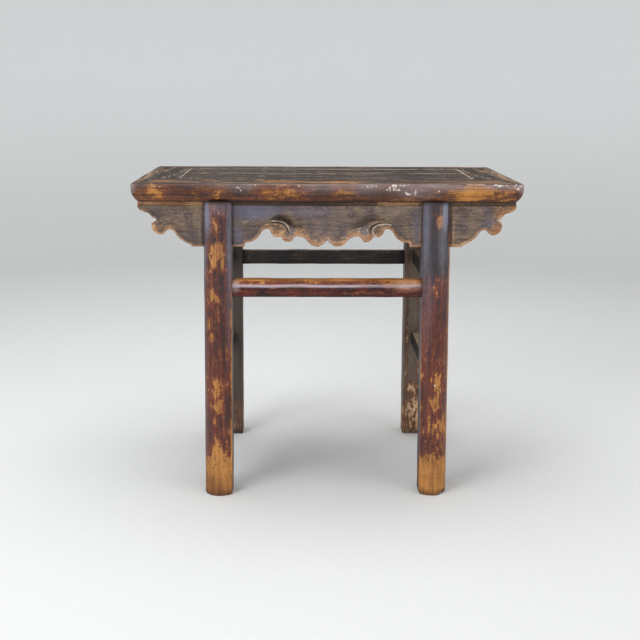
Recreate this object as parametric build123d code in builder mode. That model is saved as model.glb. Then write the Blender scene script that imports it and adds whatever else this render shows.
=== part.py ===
"""Chinese altar table with recessed legs, in the elongated bridle joint construction.

A mitred frame holds a floating panel flush with its top. Four splayed legs, square on their
two inner sides and rounded outside, are slotted at the head. Each slot grips a long carved
apron board, whose ends beyond the legs are cut as cloud-scroll spandrels. One long stretcher
joins the legs at the front and one at the rear, and two short ones join them at each end.

Units are millimetres. X runs along the table, the front is at -Y and the floor is at Z = 0.
"""

import os

from build123d import *

# ---------------------------------------------------------------- table as a whole
table_length = 1020.0
table_depth = 550.0
table_height = 855.0

# ---------------------------------------------------------------- frame of the top
frame_thickness = 49.0
front_rail_width = 145.0
rear_rail_width = 100.0
end_rail_width = 110.0
edge_upright = 16.0  # upright part of the edge moulding, below the top arris
lip_inset = 15.0  # how far the moulding turns in to its bottom lip
corner_tenon_thickness = 14.0
corner_tenon_width = 46.0
corner_tenon_drop = 22.0  # from the top surface down to the tenon
corner_tenon_shoulder = 16.0  # from the inner corner of the frame to the tenon
corner_tenon_end_wall = 28.0  # left between the tenon's end and the end of the table

# ---------------------------------------------------------------- floating panel
panel_thickness = 18.0
panel_tongue_thickness = 8.0
panel_tongue_length = 9.0
panel_tongue_drop = 6.0  # from the top surface down to the tongue
panel_edge_gap = 0.4  # room for the panel to swell
front_board_width = 160.0

# ---------------------------------------------------------------- battens under the panel
batten_spacing = 262.0
batten_width = 30.0
batten_height = 26.0
batten_chamfer = 3.0
dovetail_height = 5.0
dovetail_neck = 18.0
dovetail_flare = 3.0  # on each side
batten_tenon_width = 16.0
batten_tenon_thickness = 14.0
batten_tenon_length = 16.0

# ---------------------------------------------------------------- legs
leg_side = 76.0
leg_arris_setback = 14.0  # the rounded faces fall back this much at their two arrises
leg_crown = 2.0  # where a rounded face stands out most, from the leg's axis
leg_overhang_top = 222.0  # from the table's end in to the legs' axes, under the frame
leg_overhang_foot = 214.0
leg_setback_top = 41.0  # from the front edge back to the legs' axes, under the frame
leg_setback_foot = 18.0
foot_chamfer = 2.0
leg_tenon_width = 44.0
outer_tenon_thickness = 7.0
outer_tenon_height = 14.0
inner_tenon_thickness = 20.0
inner_tenon_height = 28.0
inner_tenon_setback = 2.0  # from the slot to the inner tenon

# ---------------------------------------------------------------- apron boards
apron_thickness = 22.0
apron_setback = 25.0  # from the edge of the top back to the face of the apron
apron_end_gap = 13.0  # from the table's end in to the end of the apron
apron_drop = 120.0  # from the underside of the frame to the lowest edge
tongue_thickness = 14.0
tongue_setback = 4.0  # from the face of the apron back to the tongue
tongue_rise = 11.5  # bare height of the tongue, between apron and frame
tongue_seat = 6.0  # height of the tongue inside the frame's groove
tongue_mitre_gap = 4.0  # from the end of the seated tongue to the frame's mitre
field_depth = 2.0  # how far the carved fields lie below the bead
bead_width = 5.0
bead_beside_leg = 6.0
curl_x = 131.0  # centre of a cloud curl, from the middle of the table
curl_rise = 44.5  # and above the lowest edge of the apron
curl_radius = 19.0
curl_groove_radius = 11.0
curl_groove_width = 2.5
crescent_depth = 3.5  # below the face of the bead

# ---------------------------------------------------------------- stretchers
long_stretcher_top = 599.0
long_stretcher_height = 43.0
long_stretcher_thickness = 38.0
upper_stretcher_step = 7.0  # from the long stretchers' top up to the upper side ones'
lower_stretcher_top = 344.0
side_stretcher_height = 42.0
side_stretcher_thickness = 34.0
stretcher_offset = 3.0  # outwards from the axis of the legs
stretcher_round = 14.0  # radius of the two outer arrises
stretcher_ease = 3.0  # radius of the two inner arrises
tenon_thickness = 14.0
tenon_shoulder = 7.0  # above, below and at the root of each stretcher tenon
tenon_parting = 3.0  # from the axis plane of a crossing tenon's cheek to this tenon's end

mortise_end_gap = 1.0  # past the end of every tenon

# ---------------------------------------------------------------- worked out from the above
half_length = table_length / 2
half_depth = table_depth / 2
half_leg = leg_side / 2
leg_axis_x_top = half_length - leg_overhang_top
leg_axis_x_foot = half_length - leg_overhang_foot
leg_axis_y_top = half_depth - leg_setback_top
leg_axis_y_foot = half_depth - leg_setback_foot
apron_half_length = half_length - apron_end_gap
upper_stretcher_top = long_stretcher_top + upper_stretcher_step
frame_underside = table_height - frame_thickness
opening_half_length = half_length - end_rail_width
opening_front_y = -half_depth + front_rail_width
opening_rear_y = half_depth - rear_rail_width
panel_underside = table_height - panel_thickness
panel_tongue_top = table_height - panel_tongue_drop
panel_tongue_bottom = panel_tongue_top - panel_tongue_thickness
board_joint_y = opening_front_y + front_board_width
batten_bottom = panel_underside - batten_height
batten_tenon_top = panel_underside - (batten_height - batten_tenon_thickness) / 2
batten_tenon_bottom = batten_tenon_top - batten_tenon_thickness
corner_tenon_top = table_height - corner_tenon_drop
corner_tenon_bottom = corner_tenon_top - corner_tenon_thickness
apron_bottom = frame_underside - apron_drop
apron_shoulder = frame_underside - tongue_rise
apron_face_y = -half_depth + apron_setback
apron_back_y = apron_face_y + apron_thickness
tongue_front_y = apron_face_y + tongue_setback
tongue_back_y = tongue_front_y + tongue_thickness
narrow_rail_width = min(front_rail_width, rear_rail_width)
tongue_mitre_x = half_length - (tongue_back_y + half_depth) * end_rail_width / narrow_rail_width
seat_half_length = tongue_mitre_x - tongue_mitre_gap
stretcher_tenon_length = half_leg - tenon_thickness / 2 - tenon_parting

os.makedirs("parts", exist_ok=True)


def block(x_range, y_range, z_range):
    """A square-edged solid between two X, two Y and two Z values."""
    size = [high - low for low, high in (x_range, y_range, z_range)]
    centre = [(high + low) / 2 for low, high in (x_range, y_range, z_range)]
    return Pos(*centre) * Box(*size, mode=Mode.PRIVATE)


def to_right(shape):
    """The mirror image of a left-hand shape, at the right of the table."""
    return mirror(shape, about=Plane.YZ, mode=Mode.PRIVATE)


def to_rear(shape):
    """The mirror image of a front shape, at the rear of the table."""
    return mirror(shape, about=Plane.XZ, mode=Mode.PRIVATE)


def save(part, name):
    """Label one finished piece and write it to its own file."""
    part.label = name
    export_step(part, f"parts/{name}.step")


# ================================================================ joints, shared by both sides
def leg_axis(z):
    """Axis of the front left leg at height z, as x and y."""
    share = (frame_underside - z) / frame_underside
    x = leg_axis_x_top + (leg_axis_x_foot - leg_axis_x_top) * share
    y = leg_axis_y_top + (leg_axis_y_foot - leg_axis_y_top) * share
    return -x, -y


def leg_tenons(extra=0.0):
    """Twin tenons on the head of the front left leg, one on each cheek of its slot."""
    axis_x, _ = leg_axis(frame_underside)
    x_range = (axis_x - leg_tenon_width / 2, axis_x + leg_tenon_width / 2)
    outer_y = (apron_face_y - outer_tenon_thickness, apron_face_y)
    outer_z = (frame_underside, frame_underside + outer_tenon_height + extra)
    inner_front_y = apron_back_y + inner_tenon_setback
    inner_y = (inner_front_y, inner_front_y + inner_tenon_thickness)
    inner_z = (frame_underside, frame_underside + inner_tenon_height + extra)
    return block(x_range, outer_y, outer_z), block(x_range, inner_y, inner_z)


def batten_tenon(x, extra=0.0):
    """The bar whose two ends are one batten's tenons, from rail to rail."""
    return block(
        (x - batten_tenon_width / 2, x + batten_tenon_width / 2),
        (opening_front_y - batten_tenon_length - extra, opening_rear_y + batten_tenon_length + extra),
        (batten_tenon_bottom, batten_tenon_top),
    )


def corner_tenon(inner_y, outwards, extra=0.0):
    """Tenon of a long rail that passes the left mitre into the end rail.

    inner_y is the rail's inner edge, and outwards is -1 on the front rail and 1 on the
    rear one.
    """
    near = inner_y + outwards * corner_tenon_shoulder
    far = near + outwards * corner_tenon_width
    return block(
        (-half_length + corner_tenon_end_wall - extra, -opening_half_length + corner_tenon_shoulder),
        (min(near, far), max(near, far)),
        (corner_tenon_bottom, corner_tenon_top),
    )


def stretcher_tenon(z_range, along_x, extra=0.0):
    """Tenon of a stretcher in the front left leg, on the leg's axis.

    A long stretcher's tenon comes in along X, and a side stretcher's along Y.
    """
    x, y = leg_axis(sum(z_range) / 2)
    half = tenon_thickness / 2
    root = half_leg + tenon_shoulder
    tip = half_leg - stretcher_tenon_length - extra
    if along_x:
        return block((x + tip, x + root), (y - half, y + half), z_range)
    return block((x - half, x + half), (y + tip, y + root), z_range)


def tenon_heights(top, height):
    """Lowest and highest Z of a stretcher's tenons."""
    return top - height + tenon_shoulder, top - tenon_shoulder


long_tenon_z = tenon_heights(long_stretcher_top, long_stretcher_height)
upper_tenon_z = tenon_heights(upper_stretcher_top, side_stretcher_height)
lower_tenon_z = tenon_heights(lower_stretcher_top, side_stretcher_height)

batten_x = [-batten_spacing, 0.0, batten_spacing]
panel_groove = block(
    (-opening_half_length - panel_tongue_length - panel_edge_gap,
     opening_half_length + panel_tongue_length + panel_edge_gap),
    (opening_front_y - panel_tongue_length - panel_edge_gap,
     opening_rear_y + panel_tongue_length + panel_edge_gap),
    (panel_tongue_bottom, panel_tongue_top),
)
tongue_seat_bar = block(
    (-seat_half_length, seat_half_length),
    (tongue_front_y, tongue_back_y),
    (frame_underside, frame_underside + tongue_seat),
)


# ================================================================ top frame
def moulded_bar(plane, half, length):
    """The top's section between two moulded edges, drawn on a plane and run both ways."""
    arc_drop = frame_thickness - edge_upright
    arc_radius = (arc_drop**2 + lip_inset**2) / (2 * lip_inset)
    middle_inset = arc_radius - (arc_radius**2 - (arc_drop / 2) ** 2) ** 0.5
    arc_start = (half, table_height - edge_upright)
    arc_middle = (half - middle_inset, table_height - edge_upright - arc_drop / 2)
    lip = (half - lip_inset, frame_underside)
    with BuildPart() as bar:
        with BuildSketch(plane):
            with BuildLine():
                Polyline((0, table_height), (half, table_height), arc_start)
                ThreePointArc(arc_start, arc_middle, lip)
                Line(lip, (0, frame_underside))
                mirror(about=Plane.YZ)
            make_face()
        extrude(amount=length, both=True)
    return bar.part


top_form = moulded_bar(Plane.XZ, half_length, table_depth) & moulded_bar(
    Plane.YZ, half_depth, table_length
)


def long_rail(inner_y, outwards):
    """A front or rear rail, with outwards -1 at the front and 1 at the rear."""
    outer_y = outwards * half_depth
    seat = tongue_seat_bar if outwards < 0 else to_rear(tongue_seat_bar)
    corner = corner_tenon(inner_y, outwards)
    mortises = [batten_tenon(x, mortise_end_gap) for x in batten_x]
    for tenon in leg_tenons(mortise_end_gap):
        placed = tenon if outwards < 0 else to_rear(tenon)
        mortises += [placed, to_right(placed)]
    with BuildPart() as rail:
        with BuildSketch(Plane.XY.offset(frame_underside)):
            with BuildLine():
                Polyline(
                    (-half_length, outer_y),
                    (half_length, outer_y),
                    (opening_half_length, inner_y),
                    (-opening_half_length, inner_y),
                    close=True,
                )
            make_face()
        extrude(amount=frame_thickness)
        add(top_form, mode=Mode.INTERSECT)
        add([panel_groove, seat, *mortises], mode=Mode.SUBTRACT)
        add([corner, to_right(corner)])
    return rail.part


def end_rail():
    """The left rail, mortised for the tenons of both long rails."""
    front_corner = corner_tenon(opening_front_y, -1, mortise_end_gap)
    rear_corner = corner_tenon(opening_rear_y, 1, mortise_end_gap)
    with BuildPart() as rail:
        with BuildSketch(Plane.XY.offset(frame_underside)):
            with BuildLine():
                Polyline(
                    (-half_length, -half_depth),
                    (-opening_half_length, opening_front_y),
                    (-opening_half_length, opening_rear_y),
                    (-half_length, half_depth),
                    close=True,
                )
            make_face()
        extrude(amount=frame_thickness)
        add(top_form, mode=Mode.INTERSECT)
        add([panel_groove, front_corner, rear_corner], mode=Mode.SUBTRACT)
    return rail.part


left_end_rail = end_rail()
save(long_rail(opening_front_y, -1), "top_front_rail")
save(long_rail(opening_rear_y, 1), "top_rear_rail")
save(left_end_rail, "top_left_end_rail")
save(to_right(left_end_rail), "top_right_end_rail")


# ================================================================ floating panel and battens
def dovetail(x):
    """The dovetailed rib along the top of a batten, which the boards slide onto."""
    neck = dovetail_neck / 2
    head = neck + dovetail_flare
    with BuildPart() as rib:
        with BuildSketch(Plane.XZ.offset(-opening_front_y)):
            with BuildLine():
                Polyline(
                    (x - neck, panel_underside),
                    (x + neck, panel_underside),
                    (x + head, panel_underside + dovetail_height),
                    (x - head, panel_underside + dovetail_height),
                    close=True,
                )
            make_face()
        extrude(amount=opening_front_y - opening_rear_y)
    return rib.part


dovetails = [dovetail(x) for x in batten_x]


def panel_board(y_range, tongue_y_range):
    """One board of the panel: flush on top, tongued round the frame, grooved for battens."""
    flush = opening_half_length - panel_edge_gap
    tongued = opening_half_length + panel_tongue_length
    body = block((-flush, flush), y_range, (panel_underside, table_height))
    tongue = block((-tongued, tongued), tongue_y_range, (panel_tongue_bottom, panel_tongue_top))
    with BuildPart() as board:
        add([body, tongue])
        add(dovetails, mode=Mode.SUBTRACT)
    return board.part


front_board = panel_board(
    (opening_front_y + panel_edge_gap, board_joint_y),
    (opening_front_y - panel_tongue_length, board_joint_y),
)
rear_board = panel_board(
    (board_joint_y, opening_rear_y - panel_edge_gap),
    (board_joint_y, opening_rear_y + panel_tongue_length),
)
save(front_board, "top_front_board")
save(rear_board, "top_rear_board")

for name, x, rib in zip(("left_batten", "middle_batten", "right_batten"), batten_x, dovetails):
    x_range = (x - batten_width / 2, x + batten_width / 2)
    bar = block(x_range, (opening_front_y, opening_rear_y), (batten_bottom, panel_underside))
    tenons = batten_tenon(x)
    with BuildPart() as batten:
        add(bar)
        lower_arrises = batten.edges().filter_by(Axis.Y).group_by(Axis.Z)[0]
        chamfer(lower_arrises, length=batten_chamfer)
        add([rib, tenons])
    save(batten.part, name)

# ================================================================ legs
leg_run = Vector(
    leg_axis_x_foot - leg_axis_x_top, leg_axis_y_foot - leg_axis_y_top, frame_underside
)


def leg_outline():
    """Section of the front left leg about its axis.

    The two sides that face into the table are flat. The two that face out are arcs that fall
    back to their arrises and flow into a wide arc round the outer corner.
    """
    arris = half_leg - leg_arris_setback
    front_crown = (leg_crown, -half_leg)
    side_crown = (-half_leg, leg_crown)
    TangentArc(front_crown, (half_leg, -arris), tangent=(1, 0))
    TangentArc(front_crown, side_crown, tangent=(-1, 0))
    TangentArc(side_crown, (-arris, half_leg), tangent=(0, 1))
    Polyline((-arris, half_leg), (half_leg, half_leg), (half_leg, -arris))


with BuildPart() as leg_blank:
    with BuildSketch(Plane(origin=(*leg_axis(-half_leg), -half_leg), x_dir=(1, 0, 0), z_dir=leg_run)):
        with BuildLine():
            leg_outline()
        make_face()
    extrude(amount=leg_run.length + leg_side)
    split(bisect_by=Plane.XY, keep=Keep.TOP)
    split(bisect_by=Plane.XY.offset(frame_underside), keep=Keep.BOTTOM)

bridle_slot = block(
    (-half_length, 0), (apron_face_y, apron_back_y), (apron_bottom, table_height)
)
leg_mortises = [
    stretcher_tenon(long_tenon_z, True, mortise_end_gap),
    stretcher_tenon(upper_tenon_z, False, mortise_end_gap),
    stretcher_tenon(lower_tenon_z, False, mortise_end_gap),
]
head_tenons = leg_tenons()

with BuildPart() as front_left_leg:
    add(leg_blank)
    foot_edges = front_left_leg.faces().sort_by(Axis.Z)[0].edges()
    chamfer(foot_edges, length=foot_chamfer)
    add([bridle_slot, *leg_mortises], mode=Mode.SUBTRACT)
    add(head_tenons)

left_leg = front_left_leg.part
save(left_leg, "front_left_leg")
save(to_right(left_leg), "front_right_leg")
save(to_rear(left_leg), "rear_left_leg")
save(to_rear(to_right(left_leg)), "rear_right_leg")


# ================================================================ carved aprons
def above_edge(x, rise):
    """A point of the carving, rise millimetres above the lowest edge of the apron."""
    return x, apron_bottom + rise


def from_end(distance, rise):
    """A point of the carving, so far in from the end of the apron and above its lowest edge."""
    return apron_half_length - distance, apron_bottom + rise


def swing(start, end):
    """Two tangent arcs of one radius between two points where the edge runs level."""
    middle = ((start[0] + end[0]) / 2, (start[1] + end[1]) / 2)
    first = TangentArc(start, middle, tangent=(1, 0))
    TangentArc(middle, end, tangent=first % 1)


def carved_edge():
    """Lower edge of the apron, from the cusp at its middle out to the spandrel's end."""
    at = above_edge
    # centre: a lobe each side of the cusp, a hollow, the small lobe and the curl
    TangentArc(at(24, 0), at(0, 18), tangent=(-1, 0))
    swing(at(24, 0), at(79, 27.5))
    swing(at(79, 27.5), at(103, 12.5))
    TangentArc(at(103, 12.5), at(121.5, 28), tangent=(1, 0))
    ThreePointArc(at(121.5, 28), at(134, 25.7), at(149.5, 40))
    TangentArc(at(158, 47.5), at(149.5, 40), tangent=(-1, 0))
    # the sweep down to the block beside the leg
    shoulder = TangentArc(at(158, 47.5), at(173, 39), tangent=(1, 0))
    ramp = Line(shoulder @ 1, at(179, 29.5))
    foot = TangentArc(at(212, 11.5), ramp @ 1, tangent=(-1, 0))
    TangentArc(foot @ 0, at(218.5, 5), tangent=(1, 0))
    Polyline(at(218.5, 5), at(218.5, 0), from_end(155, 0))
    # spandrel: a long sweep, its lobe, the hook and the upper cloud
    sweep = TangentArc(from_end(155, 0), from_end(101, 28.5), tangent=(1, 0))
    rise = Line(sweep @ 1, sweep @ 1 + 13.7 * (sweep % 1))
    TangentArc(rise @ 1, from_end(82, 45.5), tangent=rise % 1)
    swing(from_end(82, 45.5), from_end(59, 31.5))
    hook = TangentArc(from_end(59, 31.5), from_end(36, 62), tangent=(1, 0))
    TangentArc(hook @ 1, from_end(45, 72), tangent=hook % 1)
    cloud = TangentArc(from_end(45, 72), from_end(33.7, 81.5), tangent=(10, 4))
    cloud = TangentArc(cloud @ 1, from_end(22, 90), tangent=cloud % 1)
    cloud = TangentArc(cloud @ 1, from_end(7, 95.5), tangent=cloud % 1)
    TangentArc(cloud @ 1, from_end(0, 104), tangent=cloud % 1)
    Polyline(from_end(0, 104), (apron_half_length, apron_shoulder), (0, apron_shoulder))


apron_plane = Plane.XZ.offset(-apron_face_y)
field_edge_inside = leg_axis_x_top - half_leg - bead_beside_leg
field_edge_outside = leg_axis_x_foot + half_leg + bead_beside_leg
tongue_bar = block(
    (-apron_half_length, apron_half_length),
    (tongue_front_y, tongue_back_y),
    (apron_shoulder, frame_underside),
)

with BuildPart() as front_apron:
    with BuildSketch(apron_plane) as apron_outline:
        with BuildLine():
            carved_edge()
            mirror(about=Plane.YZ)
        make_face()
    extrude(amount=-apron_thickness)
    add([tongue_bar, tongue_seat_bar])
    with BuildSketch(apron_plane):
        add(apron_outline.sketch_local)
        offset(amount=-bead_width)
        with Locations(above_edge(-leg_axis_x_top, 0), above_edge(leg_axis_x_top, 0)):
            Rectangle(
                field_edge_outside - field_edge_inside, 2 * apron_drop, mode=Mode.SUBTRACT
            )
        with Locations(above_edge(-curl_x, curl_rise), above_edge(curl_x, curl_rise)):
            Circle(curl_radius, mode=Mode.SUBTRACT)
    extrude(amount=-field_depth, mode=Mode.SUBTRACT)
    with BuildSketch(apron_plane):
        with BuildLine():
            ThreePointArc(above_edge(65, 51), above_edge(110, 88), above_edge(156, 72))
            ThreePointArc(above_edge(156, 72), above_edge(112, 73), above_edge(65, 51))
        make_face()
        mirror(about=Plane.YZ)
    extrude(amount=-crescent_depth, mode=Mode.SUBTRACT)
    with BuildSketch(apron_plane):
        with Locations(above_edge(-curl_x, curl_rise), above_edge(curl_x, curl_rise)):
            Circle(curl_groove_radius)
            Circle(curl_groove_radius - curl_groove_width, mode=Mode.SUBTRACT)
    extrude(amount=-field_depth, mode=Mode.SUBTRACT)

save(front_apron.part, "front_apron")
save(to_rear(front_apron.part), "rear_apron")

# ================================================================ stretchers
leg_blanks = [leg_blank.part, to_right(leg_blank.part), to_rear(leg_blank.part)]


def stretcher(plane, size, reach, tenons):
    """A bar between two legs, rounded on its outer side, cut to their faces and tenoned.

    plane stands across the bar at its middle, with its X axis pointing into the table, and
    the bar reaches the axis of each leg before it is cut.
    """
    with BuildPart() as bar:
        with BuildSketch(plane) as section:
            Rectangle(*size)
            sides = section.vertices().group_by(Axis.X)
            fillet(sides[0], radius=stretcher_round)
            inner = section.vertices().group_by(Axis.X)[-1]
            fillet(inner, radius=stretcher_ease)
        extrude(amount=reach, both=True)
        add(leg_blanks, mode=Mode.SUBTRACT)
        add(tenons)
    return bar.part


long_middle_z = sum(long_tenon_z) / 2
long_tenon = stretcher_tenon(long_tenon_z, True)
front_stretcher = stretcher(
    Plane(
        origin=(0, leg_axis(long_middle_z)[1] - stretcher_offset, long_middle_z),
        x_dir=(0, 1, 0),
        z_dir=(1, 0, 0),
    ),
    (long_stretcher_thickness, long_stretcher_height),
    leg_axis_x_top,
    [long_tenon, to_right(long_tenon)],
)
save(front_stretcher, "front_stretcher")
save(to_rear(front_stretcher), "rear_stretcher")

for level, tenon_z in (("upper", upper_tenon_z), ("lower", lower_tenon_z)):
    middle_z = sum(tenon_z) / 2
    side_tenon = stretcher_tenon(tenon_z, False)
    left_stretcher = stretcher(
        Plane(
            origin=(leg_axis(middle_z)[0] - stretcher_offset, 0, middle_z),
            x_dir=(1, 0, 0),
            z_dir=(0, -1, 0),
        ),
        (side_stretcher_thickness, side_stretcher_height),
        leg_axis_y_top,
        [side_tenon, to_rear(side_tenon)],
    )
    save(left_stretcher, f"left_{level}_stretcher")
    save(to_right(left_stretcher), f"right_{level}_stretcher")
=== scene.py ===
"""Visual model of a Chinese altar table with recessed legs, carved aprons and worn lacquer.

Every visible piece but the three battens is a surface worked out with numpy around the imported
CAD frame, and rides on its one body. Sizes are millimetres until a mesh is made; the scene
itself is in metres.
"""

from __future__ import annotations

import logging
import math
from dataclasses import astuple, dataclass, replace
from enum import Enum, IntEnum
from functools import cache

import bpy
import numpy as np
from mathutils import Matrix, Vector
from mathutils.geometry import delaunay_2d_cdt


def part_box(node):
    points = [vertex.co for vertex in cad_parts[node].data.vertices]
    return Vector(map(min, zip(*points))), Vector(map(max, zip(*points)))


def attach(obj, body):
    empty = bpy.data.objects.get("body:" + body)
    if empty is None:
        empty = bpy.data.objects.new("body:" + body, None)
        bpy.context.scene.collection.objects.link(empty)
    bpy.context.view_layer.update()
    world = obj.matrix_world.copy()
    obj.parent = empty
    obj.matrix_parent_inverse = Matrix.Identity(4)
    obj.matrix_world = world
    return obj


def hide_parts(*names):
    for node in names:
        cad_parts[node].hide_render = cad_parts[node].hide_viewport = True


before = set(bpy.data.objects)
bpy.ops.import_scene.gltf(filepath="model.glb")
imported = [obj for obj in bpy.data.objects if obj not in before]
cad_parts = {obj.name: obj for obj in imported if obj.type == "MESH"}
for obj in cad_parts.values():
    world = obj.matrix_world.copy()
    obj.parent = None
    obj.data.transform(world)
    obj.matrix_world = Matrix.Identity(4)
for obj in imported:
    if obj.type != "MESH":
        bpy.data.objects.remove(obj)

MM = 0.001
QUARTER = math.pi / 2.0
BODY = "root"
# The pale-film mark also carries painted sheen and highlights, the grime mark also painted shade, and
# the fleck mark also painted highlights on carved crests.
MARKS = ("wear", "bloom", "red", "grime", "deck", "fleck")

log = logging.getLogger("altar_table")
Array = np.ndarray
Pair = tuple[float, float]
Triple = tuple[float, float, float]
Finish = bpy.types.Material


# ---------------------------------------------------------------- small maths
def smooth(value: Array, low: float, high: float) -> Array:
    """Smoothstep: 0 below low, 1 above high and a cubic ease between them."""
    share = np.clip((value - low) / (high - low), 0.0, 1.0)
    return share * share * (3.0 - 2.0 * share)


def fall(value: Array, low: float, high: float) -> Array:
    """Smoothstep downwards: 1 below low and 0 above high."""
    return smooth(-value, -high, -low)


def bump(value: Array, centre: float, reach: float) -> Array:
    """A bell that is 1 at the centre and fades out over the reach to either side."""
    return np.exp(-(((value - centre) / reach) ** 2))


def ripple(x: Array, y: Array, seed: int, size: float) -> Array:
    """Smooth seeded waviness between about -1 and 1.

    It is the sum of seven sine waves of random direction and phase, with wavelengths around
    the given size, over the root of twice their number.

    Args:
        x: First coordinate, mm.
        y: Second coordinate, mm.
        seed: Seed of the wave directions.
        size: Typical wavelength, mm.

    Returns:
        The waviness at every point.
    """
    draw = np.random.default_rng(seed)
    total = np.zeros(np.broadcast(x, y).shape)
    waves = 7
    for _ in range(waves):
        angle = draw.uniform(0.0, math.tau)
        pulse = math.tau / (size * draw.uniform(0.6, 1.8))
        phase = draw.uniform(0.0, math.tau)
        total += np.sin(pulse * (x * math.cos(angle) + y * math.sin(angle)) + phase)
    return np.clip(total / math.sqrt(waves * 2.0), -1.0, 1.0)


def node_box(node: str) -> tuple[Array, Array]:
    """Lowest and highest corner of a CAD node, in mm."""
    low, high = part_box(node)
    return np.array(low) / MM, np.array(high) / MM


def srgb(red: int, green: int, blue: int) -> Triple:
    """A display colour of 0 to 255 as linear light, by the sRGB transfer curve."""
    shares = (channel / 255.0 for channel in (red, green, blue))
    return tuple(s / 12.92 if s <= 0.04045 else ((s + 0.055) / 1.055) ** 2.4 for s in shares)


def near_line(x: Array, y: Array, line: Array) -> Array:
    """Distance from each point to a polyline, by projecting it on every segment.

    Args:
        x: First coordinate.
        y: Second coordinate.
        line: The polyline's points.

    Returns:
        The distances.
    """
    best = np.full(x.shape, np.inf)
    for (ax, ay), (dx, dy) in zip(line[:-1], np.diff(line, axis=0)):
        share = np.clip(((x - ax) * dx + (y - ay) * dy) / (dx * dx + dy * dy), 0.0, 1.0)
        best = np.minimum(best, np.hypot(x - ax - share * dx, y - ay - share * dy))
    return best


def inside_loop(x: Array, y: Array, loop: Array) -> Array:
    """Whether each point is inside a closed loop, by counting crossings of a ray.

    Args:
        x: First coordinate.
        y: Second coordinate.
        loop: The loop's corners.

    Returns:
        True for the points inside.
    """
    inside = np.zeros(x.shape, bool)
    for (ax, ay), (bx, by) in zip(loop, np.roll(loop, -1, axis=0)):
        if ay != by:
            inside ^= ((ay > y) != (by > y)) & (x < (bx - ax) * (y - ay) / (by - ay) + ax)
    return inside


def curve_through(knots: list[Pair], steps: int = 8) -> Array:
    """A smooth curve through points: cubic pieces whose slopes span the neighbours.

    Args:
        knots: The points.
        steps: Steps from one to the next.

    Returns:
        The curve's points.
    """
    ends = np.array([knots[0], *knots, knots[-1]], float)
    t = np.linspace(0.0, 1.0, steps, endpoint=False)[:, None]
    pieces = [
        0.5 * (2 * b + (c - a) * t + (2 * a - 5 * b + 4 * c - d) * t**2
               + (3 * b - a - 3 * c + d) * t**3)
        for a, b, c, d in zip(ends[:-3], ends[1:-2], ends[2:-1], ends[3:])
    ]
    return np.concatenate([*pieces, ends[-1:]])


# ---------------------------------------------------------------- meshes
@dataclass
class Skin:
    """Arrays of one mesh: points in mm, faces as corner lists, grain map and point marks."""

    points: Array
    corners: Array
    face_sizes: Array
    grain: Array
    marks: Array
    flat: Array

    def joined(self, other: Skin) -> Skin:
        """This skin and another as one, with the other's corner numbers moved on."""
        moved = replace(other, corners=other.corners + len(self.points))
        return Skin(*(np.concatenate(pair) for pair in zip(astuple(self), astuple(moved))))

    def outward(self) -> Skin:
        """The same skin with its faces turned outwards, judged by the sign of its volume.

        The volume is the sum of the triple products of every face's fan of triangles.

        Returns:
            The skin, mirrored where its volume is negative.
        """
        starts = np.cumsum(self.face_sizes) - self.face_sizes
        volume = 0.0
        for size in np.unique(self.face_sizes):
            first = starts[self.face_sizes == size]
            for step in range(1, int(size) - 1):
                fan = [self.points[self.corners[first + turn]] for turn in (0, step, step + 1)]
                volume += float(np.einsum("ij,ij->", fan[0], np.cross(fan[1], fan[2])))
        if volume >= 0.0:
            return self
        mirror = np.repeat(2 * starts + self.face_sizes - 1, self.face_sizes)
        order = mirror - np.arange(len(self.corners))
        return replace(self, corners=self.corners[order], grain=self.grain[order])

    def mesh(self, name: str) -> bpy.types.Mesh:
        """The skin as a Blender mesh in metres, with its grain map and its marks.

        Args:
            name: The mesh's name.

        Returns:
            The mesh.
        """
        skin = self.outward()
        mesh = bpy.data.meshes.new(name)
        mesh.vertices.add(len(skin.points))
        mesh.vertices.foreach_set("co", (skin.points * MM).astype(np.float32).ravel())
        mesh.loops.add(len(skin.corners))
        mesh.loops.foreach_set("vertex_index", skin.corners.astype(np.int32))
        mesh.polygons.add(len(skin.face_sizes))
        starts = (np.cumsum(skin.face_sizes) - skin.face_sizes).astype(np.int32)
        mesh.polygons.foreach_set("loop_start", starts)
        mesh.polygons.foreach_set("loop_total", skin.face_sizes.astype(np.int32))
        mesh.polygons.foreach_set("use_smooth", ~skin.flat)
        grain = mesh.uv_layers.new(name="grain")
        grain.data.foreach_set("uv", (skin.grain * MM).astype(np.float32).ravel())
        for mark, values in zip(MARKS, np.clip(skin.marks, 0.0, 1.5).astype(np.float32).T):
            mesh.attributes.new(mark, "FLOAT", "POINT").data.foreach_set("value", values.copy())
        mesh.update(calc_edges=True)
        mesh.validate()
        return mesh


def marks_of(shape: tuple[int, ...], **given: Array) -> Array:
    """All the point marks as columns in their order, with zeros where none is given."""
    columns = [np.broadcast_to(given.get(name, 0.0), shape).ravel() for name in MARKS]
    return np.stack(columns, axis=1)


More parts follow.
